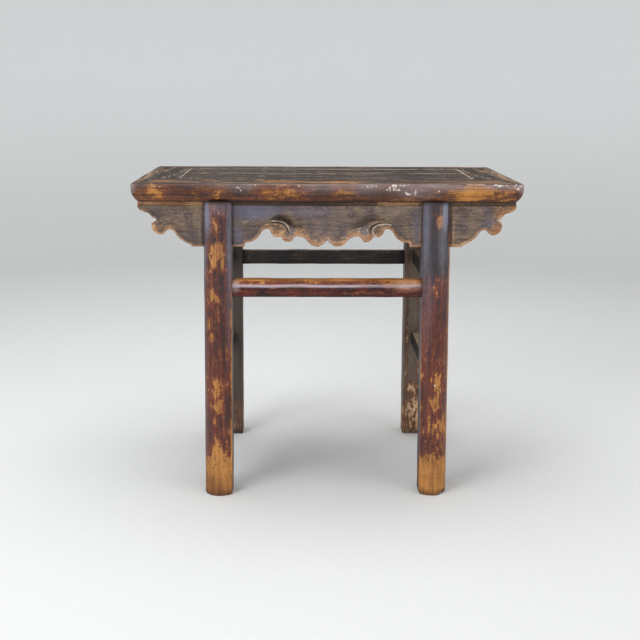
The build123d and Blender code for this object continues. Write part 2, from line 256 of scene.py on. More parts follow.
def carried(points: Array, along: Array, marks: Array) -> Skin:
    """A closed profile carried along a path, closed with a flat face at each end.

    The grain map runs along the path in one direction and round the profile, by its
    length, in the other.

    Args:
        points: Grid of points, stations by profile points by 3, in mm.
        along: Distance along the path of each grid point, mm.
        marks: Point marks, in the order of the grid.

    Returns:
        The closed skin.
    """
    stations, count = points.shape[:2]
    row, here = np.meshgrid(np.arange(stations - 1), np.arange(count), indexing="ij")
    following = (here + 1) % count
    turns = ((row, here), (row, following), (row + 1, following), (row + 1, here))
    quads = np.stack([r * count + c for r, c in turns], axis=-1).reshape(-1, 4)
    loop = np.concatenate([points, points[:, :1]], axis=1)
    steps = np.linalg.norm(np.diff(loop.mean(axis=0), axis=0), axis=1)
    girth = np.concatenate([[0.0], np.cumsum(steps)])
    u = np.stack([along[turn] for turn in turns], axis=-1)
    v = girth[here[..., None] + np.array([0, 1, 1, 0])]
    spread = points.reshape(-1, 3)
    ring = np.arange(count)
    caps = np.concatenate([ring[::-1], (stations - 1) * count + ring])
    thin = int(np.argmin(np.ptp(spread[ring], axis=0)))
    return Skin(
        spread,
        np.concatenate([quads.ravel(), caps]),
        np.repeat([4, count], [len(quads), 2]),
        np.concatenate([
            np.stack([u, v], axis=-1).reshape(-1, 2), np.delete(spread[caps], thin, axis=1)
        ]),
        marks,
        np.repeat([False, True], [len(quads), 2]),
    )


def linked(name: str, data: bpy.types.ID) -> bpy.types.Object:
    """A new object in the scene.

    Args:
        name: Its name.
        data: Its mesh, camera or lamp.

    Returns:
        The object.
    """
    made = bpy.data.objects.new(name, data)
    bpy.context.collection.objects.link(made)
    return made


def piece(node: str, ending: str, skin: Skin, finish: Finish) -> bpy.types.Object:
    """A finished piece that stands for a CAD node and rides on the body.

    Args:
        node: The CAD node, which begins the piece's name.
        ending: What ends it.
        skin: The piece's arrays.
        finish: Its material.

    Returns:
        The object.
    """
    name = f"{node}_{ending}"
    mesh = skin.mesh(name)
    mesh.materials.append(finish)
    made = linked(name, mesh)
    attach(made, BODY)
    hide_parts(node)
    log.info("%s: %d points, %d faces", name, len(skin.points), len(skin.face_sizes))
    return made


# ---------------------------------------------------------------- shader maths
class Value:
    """An output socket whose operators add Math nodes to its tree."""

    def __init__(self, kit: ShaderKit, socket: bpy.types.NodeSocket) -> None:
        """Wrap one output socket."""
        self.kit = kit
        self.socket = socket

    def _math(self, operation: str, left: object, right: object) -> Value:
        """One Math node on two values or numbers."""
        return self.kit.node("ShaderNodeMath", {"operation": operation}, {0: left, 1: right})

    def __add__(self, other: object) -> Value:
        """Sum."""
        return self._math("ADD", self, other)

    def __sub__(self, other: object) -> Value:
        """Difference."""
        return self._math("SUBTRACT", self, other)

    def __rsub__(self, other: object) -> Value:
        """Difference from a number."""
        return self._math("SUBTRACT", other, self)

    def __mul__(self, other: object) -> Value:
        """Product."""
        return self._math("MULTIPLY", self, other)

    def clamped(self, low: float = 0.0, high: float = 1.0) -> Value:
        """The value held between two levels."""
        return self.kit.node("ShaderNodeClamp", {}, {"Value": self, "Min": low, "Max": high})

    def step(self, low: float, high: float) -> Value:
        """Smoothstep between two levels."""
        limits = {"Value": self, "From Min": low, "From Max": high}
        return self.kit.node("ShaderNodeMapRange", {"interpolation_type": "SMOOTHSTEP"}, limits)

    __radd__ = __add__
    __rmul__ = __mul__


class ShaderKit:
    """A material's node tree, with one way to add nodes and a few named patterns."""

    def __init__(self, name: str) -> None:
        """Start a material with only its Principled shader.

        Args:
            name: The material's name.
        """
        self.material = bpy.data.materials.new(name)
        self.material.use_nodes = True
        self.tree = self.material.node_tree
        self.shader = self.tree.nodes["Principled BSDF"]

    def node(
        self, kind: str, settings: dict[str, object], sockets: dict[object, object],
        output: int | str = 0,
    ) -> Value:
        """Add one node.

        Args:
            kind: Its bl_idname.
            settings: Its properties, set first.
            sockets: Values or links for its inputs, by name or number.
            output: The output that is wanted, by name or number.

        Returns:
            That output.
        """
        made = self.tree.nodes.new(kind)
        for key, value in settings.items():
            setattr(made, key, value)
        for key, value in sockets.items():
            self.feed(made.inputs[key], value)
        return Value(self, made.outputs[output])

    def feed(self, target: bpy.types.NodeSocket, value: object) -> None:
        """Link a wrapped output to an input, or set the input's default.

        Args:
            target: The input.
            value: The output, or the number, vector or colour.
        """
        if isinstance(value, Value):
            self.tree.links.new(value.socket, target)
        elif target.type == "RGBA":
            target.default_value = (*value, 1.0)
        else:
            target.default_value = value

    def mark(self, name: str) -> Value:
        """One of the piece's point marks."""
        return self.node("ShaderNodeAttribute", {"attribute_name": name}, {}, "Fac")

    def place(self) -> Value:
        """Object coordinates in metres."""
        return self.node("ShaderNodeTexCoord", {}, {}, "Object")

    def stretched(self, vector: Value, stretch: Triple) -> Value:
        """A vector multiplied part by part."""
        return self.node("ShaderNodeVectorMath", {"operation": "MULTIPLY"}, {0: vector, 1: stretch})

    def noise(self, vector: Value, scale: float, detail: float, rough: float = 0.55) -> Value:
        """Fractal noise between about 0.2 and 0.8."""
        sockets = {"Vector": vector, "Scale": scale, "Detail": detail, "Roughness": rough}
        return self.node("ShaderNodeTexNoise", {}, sockets)

    def grain(self, scale: Pair, detail: float, rough: float = 0.55) -> Value:
        """Noise on the grain map, with so many periods a metre along and across the grain."""
        source = self.node("ShaderNodeUVMap", {"uv_map": "grain"}, {})
        return self.noise(self.stretched(source, (*scale, 0.0)), 1.0, detail, rough)

    def mix(self, share: object, first: object, second: object) -> Value:
        """Two colours mixed by a share."""
        return self.node("ShaderNodeMix", {"data_type": "RGBA"}, {0: share, 6: first, 7: second}, 2)

    def shade(self, colour: object, level: Value) -> Value:
        """A colour multiplied by a level."""
        sockets = {0: colour, "Scale": level}
        return self.node("ShaderNodeVectorMath", {"operation": "SCALE"}, sockets)

    def finish(self, colour: object, rough: object, height: Value, depth: float) -> Finish:
        """Feed the shader.

        Args:
            colour: Base colour.
            rough: Roughness.
            height: Height of the bump, from 0 to 1.
            depth: The bump's depth in metres.

        Returns:
            The material.
        """
        sockets = {"Strength": 1.0, "Distance": depth, "Height": height}
        self.feed(self.shader.inputs["Base Color"], colour)
        self.feed(self.shader.inputs["Roughness"], rough)
        self.feed(self.shader.inputs["Normal"], self.node("ShaderNodeBump", {}, sockets))
        return self.material


# ---------------------------------------------------------------- finishes
@dataclass(frozen=True)
class WornLacquer:
    """Old lacquer over wood: a dark and a red coat, bare wood where it has gone, and dust.

    The marks steer it: wear bares the wood; one mark lays a pale film, which is dust and
    clouding on some pieces and painted sheen and painted highlight on others; red turns the coat
    from its dark to its red colour; grime darkens, as dirt and as painted shade; deck turns to
    the weathered top; and fleck strews pale chips and paints highlights on carved crests.
    """

    name: str
    dark: Triple
    red: Triple
    thin: Triple
    bare_light: Triple
    # Colour of the pale film: dust and clouding, and also the colour of painted sheen and highlights.
    haze_and_sheen: Triple
    bare_dark: Triple = srgb(126, 76, 34)
    # Colour of dirt and of painted shade.
    soil_and_shade: Triple = srgb(38, 30, 26)
    chip: Triple = srgb(226, 214, 204)
    joint: Triple = srgb(204, 186, 164)
    deck_dark: Triple = srgb(25, 16, 12)
    deck_mid: Triple = srgb(67, 47, 36)
    deck_light: Triple = srgb(160, 130, 104)
    ragged: float = 1.7
    softness: float = 0.12
    streaky: float = 2.6
    # Strength of the painted highlights on carved crests.
    crest_highlight_paint: float = 0.0
    fibre_scale: Pair = (14.0, 520.0)
    figure_scale: Pair = (3.2, 80.0)
    streak_scale: Pair = (6.0, 230.0)
    flake_scale: Pair = (36.0, 92.0)
    grit_scale: Pair = (150.0, 420.0)
    band_scale: Pair = (3.0, 26.0)
    crack_scale: Pair = (1.3, 17.0)
    blotch_scale: float = 12.0
    chip_scale: float = 125.0
    gritty: float = 0.8
    nicked: float = 0.8
    coat_rough: float = 0.3
    shine: float = 0.5
    relief: float = 0.0011

    @cache
    def material(self) -> Finish:
        """The finish as a material: coat, bare wood, pale film and painted sheen, dirt and painted
        shade, weathered deck, chips and painted crest highlights.

        Each layer is mixed over the last by its mark, broken up by noises along the grain.
        Pieces with the same finish share the one material.

        Returns:
            The material.
        """
        kit = ShaderKit(self.name)
        place = kit.place()
        fibre = kit.grain(self.fibre_scale, 3.0)
        figure = kit.grain(self.figure_scale, 4.0, 0.6)
        streak = kit.grain(self.streak_scale, 4.0, 0.62)
        flake = kit.grain(self.flake_scale, 6.0, 0.68)
        grit = kit.grain(self.grit_scale, 4.0, 0.62)
        blotch = kit.noise(place, self.blotch_scale, 4.0)

        spread = (flake - 0.5) * self.ragged + (grit - 0.5) * self.gritty + (blotch - 0.5) * 0.7
        ragged_edge = kit.mark("wear") + spread
        bare = ragged_edge.step(0.5, 0.5 + self.softness)
        thin = ragged_edge.step(0.12, 0.5)
        redness = (kit.mark("red") + (figure - 0.5) * 1.8 + (blotch - 0.5) * 1.2).step(0.2, 0.8)
        lines = ((streak - 0.5) * self.streaky + (grit - 0.5) * 1.1 + 1.0).clamped(0.3, 1.9)
        coat = kit.shade(kit.mix(redness, self.dark, self.red), lines)
        coat = kit.mix(thin * 0.72, coat, kit.shade(self.thin, lines))

        tone = (fibre * 0.6 + blotch * 0.8 + figure * 0.6 + grit * 0.4).step(0.95, 1.45)
        wood = kit.mix(tone, self.bare_dark, self.bare_light)
        residue = (streak * 0.7 + grit * 0.6 + flake * 0.3).step(0.78, 0.68)
        wood = kit.mix(residue * 0.6, wood, kit.shade(self.thin, lines))
        near = kit.mark("wear").clamped(0.0, 0.5) * 0.2
        nick = (grit * 0.7 + flake * 0.5 + near).step(self.nicked, self.nicked + 0.03)

        # Pale film: dust and clouding, and painted sheen and highlights where the pieces lay them.
        haze_and_sheen = (kit.mark("bloom") * (flake * 0.9 + streak * 0.9 + grit * 0.6 - 0.3)).clamped()
        # Darkening: dirt, and painted shade in hollows, under things and on inner faces.
        soil_and_shade = (kit.mark("grime") * (flake * 1.2 + blotch * 0.9)).clamped()
        deck = (kit.mark("deck") + (flake - 0.5) * 0.7).step(0.35, 0.65)
        # Painted highlights on carved crests, as strong as the crest paint asks.
        pale = (kit.mark("fleck") + (flake - 0.5) * 0.9 + (grit - 0.5) * 0.8).step(0.25, 0.85)
        chips = kit.noise(place, self.chip_scale, 4.0, 0.6) * 0.62 + flake * 0.38
        chipped = (chips + kit.mark("fleck") * 0.22).step(0.70, 0.73)
        layers = (
            (bare, wood), (nick * 0.7 * (1.0 - bare), self.bare_light), (haze_and_sheen, self.haze_and_sheen),
            (soil_and_shade, self.soil_and_shade), (deck, self._deck(kit, fibre, streak, flake, grit, wood)),
            (pale * self.crest_highlight_paint, self.chip), (chipped, self.chip),
        )
        colour = coat
        for share, layer in layers:
            colour = kit.mix(share, colour, layer)

        rough = bare * 0.3 + (haze_and_sheen * 0.16 + (flake * 0.2 + self.coat_rough - 0.08))
        rough = (rough + deck * 0.3 + soil_and_shade * 0.55).clamped(0.12, 0.95)
        height = fibre * 0.25 + grit * 0.3 - bare * 0.5 + flake * 0.4 + chipped * 0.3
        kit.shader.inputs["Specular IOR Level"].default_value = self.shine
        return kit.finish(colour, rough, height, self.relief)

    def _deck(
        self, kit: ShaderKit, fibre: Value, streak: Value, flake: Value, grit: Value, wood: Value
    ) -> Value:
        """Weathered boards: brown-grey wood with long dark streaks and pale dry fibres.

        Args:
            kit: The material's kit.
            fibre: The finest noise along the grain.
            streak: The long noise along the grain.
            flake: The noise that breaks up edges.
            grit: The noise of small specks.
            wood: The bare wood's colour.

        Returns:
            The boards' colour.
        """
        band = kit.grain(self.band_scale, 5.0, 0.68)
        tone = (band * 0.9 + streak * 0.7 + flake * 0.2).step(0.76, 1.12)
        dry = (band * 0.5 + fibre * 0.4 + grit * 0.3 + kit.mark("bloom") * 0.16).step(0.68, 0.86)
        wave = kit.grain(self.crack_scale, 3.0) - 0.5
        crack = (wave * wave).step(0.0004, 0.00006) * (flake * 1.6 + grit * 1.4).step(1.5, 1.7)
        tan = (kit.mark("red") + (band - 0.5) * 1.6 + (flake - 0.5) * 0.8).step(0.5, 0.8)
        dark_line = (streak + (flake - 0.5) * 0.3).step(0.42, 0.34)
        joint = (kit.mark("wear") + (flake - 0.5) * 1.8 + (band - 0.5) * 2.2).step(0.35, 0.65)
        boards = kit.mix(tone, self.deck_dark, self.deck_mid)
        layers = (
            (dry * 0.85, self.deck_light), (crack * 0.55, self.joint), (tan * 0.6, wood),
            (dark_line * 0.8, self.soil_and_shade), (kit.mark("grime") * 0.85, self.soil_and_shade),
            (joint * 0.8, self.joint),
        )
        for share, layer in layers:
            boards = kit.mix(share, boards, layer)
        return boards


@dataclass(frozen=True)
class PlainWood:
    """Unfinished wood under the top, darkened by age, with its grain along Y."""

    name: str
    dark: Triple = srgb(70, 52, 40)
    light: Triple = srgb(116, 88, 66)
    stretch: Triple = (260.0, 9.0, 260.0)
    blotch_scale: float = 14.0
    rough: float = 0.8
    relief: float = 0.0008

    def material(self) -> Finish:
        """The finish as a material on Object coordinates.

        Returns:
            The material.
        """
        kit = ShaderKit(self.name)
        fibre = kit.noise(kit.stretched(kit.place(), self.stretch), 1.0, 4.0)
        blotch = kit.noise(kit.place(), self.blotch_scale, 3.0)
        tone = (fibre * 0.8 + blotch * 0.6 - 0.2).step(0.2, 0.8)
        return kit.finish(kit.mix(tone, self.dark, self.light), self.rough, fibre, self.relief)


# Its pale bluish film colour is the painted sheen on the front legs.
LEG_LACQUER = WornLacquer(
    "leg_lacquer", dark=srgb(38, 24, 22), red=srgb(92, 36, 24), thin=srgb(124, 60, 29),
    bare_light=srgb(206, 142, 70), haze_and_sheen=srgb(134, 134, 150), softness=0.04, streaky=3.9,
    flake_scale=(46.0, 110.0), nicked=0.77, ragged=1.8, gritty=0.6,
)
REAR_LACQUER = WornLacquer(
    "rear_leg_lacquer", dark=srgb(46, 30, 28), red=srgb(98, 46, 34), thin=srgb(134, 78, 46),
    bare_light=srgb(204, 164, 118), haze_and_sheen=srgb(90, 80, 73), streaky=3.4, coat_rough=0.42,
)
DUSTY_LACQUER = WornLacquer(
    "dusty_leg_lacquer", dark=srgb(48, 32, 30), red=srgb(100, 50, 36), thin=srgb(138, 86, 54),
    bare_dark=srgb(168, 134, 98), bare_light=srgb(226, 192, 150), haze_and_sheen=srgb(114, 100, 88),
    streaky=3.8, coat_rough=0.45, shine=0.35,
)
# Its pale film colour is clouded lacquer and the painted highlight under the front arris.
EDGE_LACQUER = WornLacquer(
    "edge_lacquer", dark=srgb(62, 43, 39), red=srgb(100, 58, 41), thin=srgb(128, 73, 41),
    bare_dark=srgb(136, 84, 42), bare_light=srgb(206, 142, 70), haze_and_sheen=srgb(158, 142, 142),
    coat_rough=0.42, streaky=3.2, shine=0.35,
)
# Its crest paint lays painted highlights on the carved crests.
APRON_LACQUER = WornLacquer(
    "apron_lacquer", dark=srgb(92, 75, 67), red=srgb(122, 102, 80), thin=srgb(142, 113, 88),
    bare_dark=srgb(148, 92, 50), bare_light=srgb(214, 170, 128), haze_and_sheen=srgb(110, 108, 130),
    soil_and_shade=srgb(48, 36, 28), coat_rough=0.45, streaky=2.3, streak_scale=(24.0, 150.0),
    flake_scale=(90.0, 130.0), ragged=2.0, crest_highlight_paint=0.8, shine=0.4, nicked=0.81,
    softness=0.24, gritty=1.2,
)
# Front bar: its pale film colour is the painted highlight along the rounded arris.
STRETCHER_LACQUER = WornLacquer(
    "stretcher_lacquer", dark=srgb(44, 26, 26), red=srgb(96, 40, 34), thin=srgb(150, 84, 44),
    bare_light=srgb(214, 150, 84), haze_and_sheen=srgb(186, 170, 178), coat_rough=0.25, shine=0.28,
)
# Greyer, less red lacquer for the rear and side bars, which stand in the table's shade: painted shade.
SHADED_LACQUER = WornLacquer(
    "shaded_lacquer", dark=srgb(62, 61, 62), red=srgb(80, 67, 61), thin=srgb(108, 92, 79),
    bare_dark=srgb(120, 92, 66), bare_light=srgb(206, 178, 144), haze_and_sheen=srgb(140, 132, 124),
    coat_rough=0.5, shine=0.25,
)


# ---------------------------------------------------------------- wear that is placed
class Rubs:
    """Oval places of wear on a piece's face, of which the strongest counts at each point."""

    def __init__(self, *rows: tuple[float, ...]) -> None:
        """Take rows of height, across, tall, wide and amount, the first four in mm."""
        self.rows = rows

    def at(self, height: Array, across: Array) -> Array:
        """Strength at each point: each place falls off gently to twice its oval's size.

        Args:
            height: Distance up or along the face, mm.
            across: Distance across it, mm.

        Returns:
            The strongest, or zero away from them all.
        """
        total = np.zeros(np.broadcast(height, across).shape)
        for level, off, tall, wide, amount in self.rows:
            away = ((height - level) / tall) ** 2 + ((across - off) / wide) ** 2
            total = np.maximum(total, amount * fall(np.sqrt(away), 0.1, 2.1))
        return total


def strewn(seed: int, count: int, half_width: float) -> Rubs:
    """Seeded rubs for a side of a leg that has no placed ones.

    Args:
        seed: Seed of their places and sizes.
        count: How many.
        half_width: How far from the side's middle they may lie, mm.

    Returns:
        The rubs.
    """
    draw = np.random.default_rng(seed)
    spans = ((60, 700), (-half_width, half_width), (8, 26), (3, 9), (0.45, 0.75))
    return Rubs(*([draw.uniform(*span) for span in spans] for _ in range(count)))


def grid_of(*parts: Array) -> Array:
    """Points of a grid from x, y and z arrays that broadcast together."""
    return np.stack(np.broadcast_arrays(*parts), axis=-1)


# ---------------------------------------------------------------- top
class RailKind(Enum):
    """The four rails of the frame, by the CAD node that each stands for."""

    FRONT = "top_front_rail"
    REAR = "top_rear_rail"
    LEFT = "top_left_end_rail"
    RIGHT = "top_right_end_rail"


class Zone(IntEnum):
    """The stretches of a rail's section."""

    INSIDE = 0
    TOP = 1
    ARRIS = 2
    EDGE = 3
    UNDER = 4


@dataclass
class TableTop:
    """The mitred frame and its floating panel, worn along every edge."""

    edge_upright: float = 16.0
    lip_inset: float = 15.0
    arris_round: float = 3.2
    arris_worn: float = 3.4
    corner_round: float = 5.0
    inner_round: float = 1.1
    joint_gap: float = 0.5
    station_step: float = 3.5
    tip_stations: tuple[float, ...] = (0.0, 0.5, 1.0, 1.7, 2.5, 3.4, 4.4)
    moulded_share: float = 0.985
    dressing: float = 0.35
    chips: int = 16
    chip_depth: Pair = (0.4, 2.2)
    chip_length: Pair = (4.0, 16.0)
    sag: float = 2.6
    sag_reach: float = 260.0
    worn: Rubs = Rubs(
        (-490, -28, 24, 16, 0.36), (-450, -26, 22, 16, 0.32), (-270, -20, 24, 16, 0.22),
        (-146, -26, 34, 16, 0.24), (-94, -22, 34, 12, 0.2), (38, -22, 22, 12, 0.36),
        (372, -22, 52, 17, 0.7), (472, -24, 40, 14, 0.3),
    )
    # Pale patches under the front arris: clouded lacquer and painted highlight.
    haze_and_sheen_rubs: Rubs = Rubs(
        (-230, -10, 26, 12, 0.5), (-20, -12, 60, 12, 0.3), (120, -14, 60, 14, 0.5),
        (215, -14, 60, 18, 0.55), (310, -8, 60, 9, 0.6), (460, -6, 50, 9, 0.5),
    )
    soiled: Rubs = Rubs(
        (-232, -20, 26, 16, 0.5), (0, -32, 70, 10, 0.4), (140, -28, 50, 14, 0.5),
        (-360, -16, 44, 20, 0.4),
    )
    flecked: Rubs = Rubs(
        (-222, -16, 30, 14, 0.66), (174, -12, 24, 12, 0.9), (214, -22, 26, 14, 0.86),
        (290, -14, 40, 12, 0.45), (-20, -14, 80, 14, 0.4), (110, -12, 30, 8, 0.5),
        (492, -8, 16, 14, 0.7), (440, -6, 50, 8, 0.5),
    )

    def __post_init__(self) -> None:
        """Take the frame's sizes from the CAD nodes."""
        front_low, front_high = node_box(RailKind.FRONT.value)
        self.half_length = front_high[0]
        self.half_depth = -front_low[1]
        self.top = front_high[2]
        self.underside = front_low[2]
        self.front_y = front_high[1]
        self.rear_y = node_box(RailKind.REAR.value)[0][1]
        self.inner_x = -node_box(RailKind.LEFT.value)[1][0]

    def _section(self, width: float, arris: Array, shift: Array) -> tuple[Array, Array, Array]:
        """Section of a rail at each station.

        It starts low on the inner edge, crosses the top, rounds the arris by a quarter
        circle, runs down the upright, turns in along the moulding's arc to the lip and
        closes along the underside.

        Args:
            width: The rail's width.
            arris: Rounding of the arris at each station.
            shift: How far the top's outer side has sunk at each station.

        Returns:
            Distance out from the inner edge, height under the top, and the zone's number.
        """
        r, sunk = arris[:, None], shift[:, None]
        thick = self.top - self.underside
        drop = thick - self.edge_upright
        radius = (drop**2 + self.lip_inset**2) / (2.0 * self.lip_inset)
        lip = width - self.lip_inset
        inner = self.inner_round
        ease, quarter = np.linspace(0.0, QUARTER, 5), np.linspace(0.0, QUARTER, 9)
        across = np.linspace(0.0, 1.0, 30)[1:-1]
        down = np.linspace(0.15, 1.0, 6)
        bend = np.linspace(0.0, 1.0, 12)[1:]
        stretches = (
            (Zone.INSIDE, np.zeros(3), -np.array([thick - 2.0, thick * 0.5, 8.0])),
            (Zone.INSIDE, inner * (1.0 - np.cos(ease)), inner * (np.sin(ease) - 1.0)),
            (Zone.TOP, inner + across * (width - r - inner), -sunk * smooth(across, 0.35, 1.0)),
            (Zone.ARRIS, width - r + r * np.sin(quarter), -sunk - r + r * np.cos(quarter)),
            (Zone.EDGE, np.full(6, width), -sunk - r + (sunk + r - self.edge_upright) * down),
            (Zone.EDGE, width - (radius - np.sqrt(radius**2 - (bend * drop) ** 2)),
             -self.edge_upright - bend * drop * self.moulded_share),
            (Zone.UNDER, np.array([lip - 1.4, lip - 6.0, lip * 0.6, lip * 0.25, 1.0]),
             np.full(5, -thick)),
        )
        counts = [up.shape[-1] for _, _, up in stretches]
        out, up = (
            np.concatenate([
                np.broadcast_to(stretch[part], (len(arris), count))
                for stretch, count in zip(stretches, counts)
            ], axis=1)
            for part in (1, 2)
        )
        return out, up, np.repeat([zone for zone, _, _ in stretches], counts)

    def rail(self, kind: RailKind) -> Skin:
        """One rail, its section carried between two mitres.

        Its outer corner is rounded by a quarter circle that the two rails of a corner share,
        and both end on its middle.

        Args:
            kind: Which rail.

        Returns:
            Its skin.
        """
        long = kind in (RailKind.FRONT, RailKind.REAR)
        seed = list(RailKind).index(kind) * 10 + 3
        if long:
            start = abs(self.front_y if kind is RailKind.FRONT else self.rear_y)
            limit, ends = self.half_length, (-self.inner_x, self.inner_x)
            width = self.half_depth - start
        else:
            start = self.inner_x
            limit, ends = self.half_depth, (self.front_y, self.rear_y)
            width = self.half_length - start
        run = np.linspace(-limit, limit, int(2.0 * limit / self.station_step))
        tips = limit - np.array(self.tip_stations)
        run = np.unique(np.concatenate([run, tips, -tips]))
        level = np.zeros_like(run)
        worn = self.arris_worn * (0.5 + 0.5 * ripple(run, level, seed, 240.0))
        arris = (self.arris_round + worn) * 0.6 + self._chips(run, seed)
        sag = self.sag * bump(run, 0.0, self.sag_reach) if kind is RailKind.FRONT else level
        shift = sag + 0.5 * (1.0 + ripple(run, level, seed + 1, 160.0))
        out, up, zones = self._section(width, arris, shift)
        outside = zones >= Zone.ARRIS
        moulded = np.where(outside, np.clip(width - out, 0.0, None), 0.0)
        corner = limit - moulded - self.corner_round * (1.0 - math.sqrt(0.5))
        low = np.maximum(ends[0] - (limit + ends[0]) * out / width, -corner)
        high = np.minimum(ends[1] + (limit - ends[1]) * out / width, corner)
        place = np.clip(run[:, None], low, high)
        near_tip = self.corner_round - (limit - moulded - np.abs(place))
        near_tip = np.clip(near_tip, 0.0, self.corner_round)
        pulled = self.corner_round - np.sqrt(self.corner_round**2 - near_tip**2)
        out = out - np.where(outside, pulled, 0.0)
        dressed = self.dressing * (1.0 + ripple(place, up, seed + 2, 60.0))
        out = out - np.where(zones == Zone.EDGE, dressed, 0.0)
        side = -1.0 if kind in (RailKind.FRONT, RailKind.LEFT) else 1.0
        outward = side * (start + out)
        height = np.minimum(self.top + up, self.top)
        points = grid_of(place, outward, height) if long else grid_of(outward, place, height)
        return carried(points, place, self._marks(kind, place, out, up, zones, seed, width))

    def _chips(self, run: Array, seed: int) -> Array:
        """Extra arris rounding where the edge is chipped: narrow seeded bells.

        Args:
            run: Distance of each station along the rail.
            seed: Seed of the chips.

        Returns:
            The rounding to add at each station.
        """
        draw = np.random.default_rng(seed)
        total = np.zeros_like(run)
        for _ in range(self.chips):
            centre = draw.uniform(run[0], run[-1])
            depth = draw.uniform(*self.chip_depth)
            total += depth * bump(run, centre, draw.uniform(*self.chip_length))
        return total

    def _marks(
        self, kind: RailKind, place: Array, out: Array, up: Array, zones: Array, seed: int,
        width: float,
    ) -> Array:
        """Wear of a rail: dry and tanned on top; hazed, chipped and given a painted highlight under
        the arris on the edge; darker below.

        Args:
            kind: Which rail.
            place: Distance along the rail.
            out: Distance out from its inner edge.
            up: Height under the top.
            zones: Number of each point's zone.
            seed: The rail's seed.
            width: The rail's width.

        Returns:
            The point marks.
        """
        front = kind is RailKind.FRONT
        edge = zones >= Zone.ARRIS
        arris, upright, on_top = (zones == zone for zone in (Zone.ARRIS, Zone.EDGE, Zone.TOP))
        deck = np.where(edge, arris * smooth(up, -2.4, -0.6), 1.0)
        wear = 0.2 + 0.12 * ripple(place, up * 3.0, seed + 4, 150.0) + 0.05 * arris
        wear = wear + 0.14 * upright * bump(up, -40.0, 6.0)
        # Darker on the underside and along the moulding's lowest curve.
        grime = np.where(zones == Zone.UNDER, 0.75, smooth(-up, 44.0, 49.0) * 0.35)
        patchy = 0.75 + 0.6 * ripple(place, up * 2.0, seed + 7, 90.0)
        tip = np.abs(place).max()
        # A pale film under the arris and at the rail's ends: clouded lacquer and a painted highlight.
        bloom = 0.34 * patchy * smooth(up, -20.0, -2.0)
        bloom = bloom + 0.5 * (up > -26.0) * smooth(np.abs(place), tip - 16.0, tip - 2.0)
        red = 0.4 + 0.2 * ripple(place, up * 2.0, seed + 5, 220.0)
        fleck = 0.28 * smooth(up, -12.0, -2.0)
        if front:
            wear = wear + self.worn.at(place, up)
            bloom = bloom + self.haze_and_sheen_rubs.at(place, up)
            grime = grime + self.soiled.at(place, up)
            fleck = fleck + self.flecked.at(place, up)
        ends = np.minimum(place - place[0], place[-1] - place)
        tanned = (0.34 if front else 0.08) * smooth(out, width * 0.25, width * 0.55)
        tanned = tanned * fall(out, width * 0.6, width * 0.92)
        tanned = tanned * (1.0 + 0.9 * ripple(place, out * 2.0, seed + 6, 130.0))
        dried = 0.6 * smooth(out, width * 0.35, width * 0.95)
        dried = dried + (0.55 if kind is RailKind.RIGHT else 0.35)
        return marks_of(
            place.shape, deck=deck, fleck=fleck * edge,
            wear=np.where(edge, wear, 0.85 * bump(out, 0.0, 1.5)),
            grime=np.where(edge, grime, 0.9 * bump(ends, 0.0, 1.6)),
            bloom=np.where(edge, bloom, dried * on_top),
            red=np.where(edge, red, (0.3 + tanned) * on_top),
        )

    def board(self, node: str, y_low: float, y_high: float, seed: int) -> Skin:
        """One board of the panel, a little cupped, with eased arrises along its joints.

        Args:
            node: The CAD node, for the board's thickness.
            y_low: Front side of its place.
            y_high: Rear side of its place.
            seed: Seed of its waviness.

        Returns:
            Its skin.
        """
        low, high = y_low + self.joint_gap, y_high - self.joint_gap
        thick = self.top - node_box(node)[0][2]
        limit = self.inner_x - self.joint_gap
        ease = np.linspace(0.0, QUARTER, 5)
        r = self.inner_round
        across = np.linspace(0.0, 1.0, 34)[1:-1]
        y = np.concatenate([
            [low, low], low + r * (1 - np.cos(ease)), low + r + across * (high - low - 2 * r),
            high - r + r * np.sin(ease), [high, high], np.linspace(high - 1, low + 1, 6),
        ])
        z = np.concatenate([
            [-thick + 1, -thick * 0.5], r * (np.sin(ease) - 1), np.zeros(len(across)),
            r * (np.cos(ease) - 1), [-thick * 0.5, -thick + 1], np.full(6, -thick),
        ])
        x, y = np.meshgrid(np.linspace(-limit, limit, 230), y, indexing="ij")
        upper = z > -thick * 0.4
        waves = self.dressing * (1.0 + ripple(x * 0.12, y, seed, 26.0))
        fallen = waves + 0.25 * np.clip(np.abs(x) - limit + 2.0, 0.0, 2.0) ** 2
        near = np.minimum(np.minimum(y - low, high - y), limit - np.abs(x))
        marks = marks_of(
            x.shape, wear=0.85 * upper * bump(near, 0.0, 1.5), deck=1.0 * upper,
            grime=0.7 * (1.0 - upper),
            bloom=(0.35 + 0.25 * ripple(x * 0.3, y, seed + 1, 60.0)) * upper,
        )
        return carried(grid_of(x, y, self.top + (z - upper * fallen)), x, marks)

    def build(self) -> None:
        """Make the four rails and the two boards."""
        finish = EDGE_LACQUER.material()
        for kind in RailKind:
            piece(kind.value, "worn", self.rail(kind), finish)
        joint = node_box("top_front_board")[1][1]
        boards = (("top_front_board", self.front_y, joint), ("top_rear_board", joint, self.rear_y))
        for seed, (node, low, high) in enumerate(boards, 70):
            piece(node, "worn", self.board(node, low, high, seed), finish)


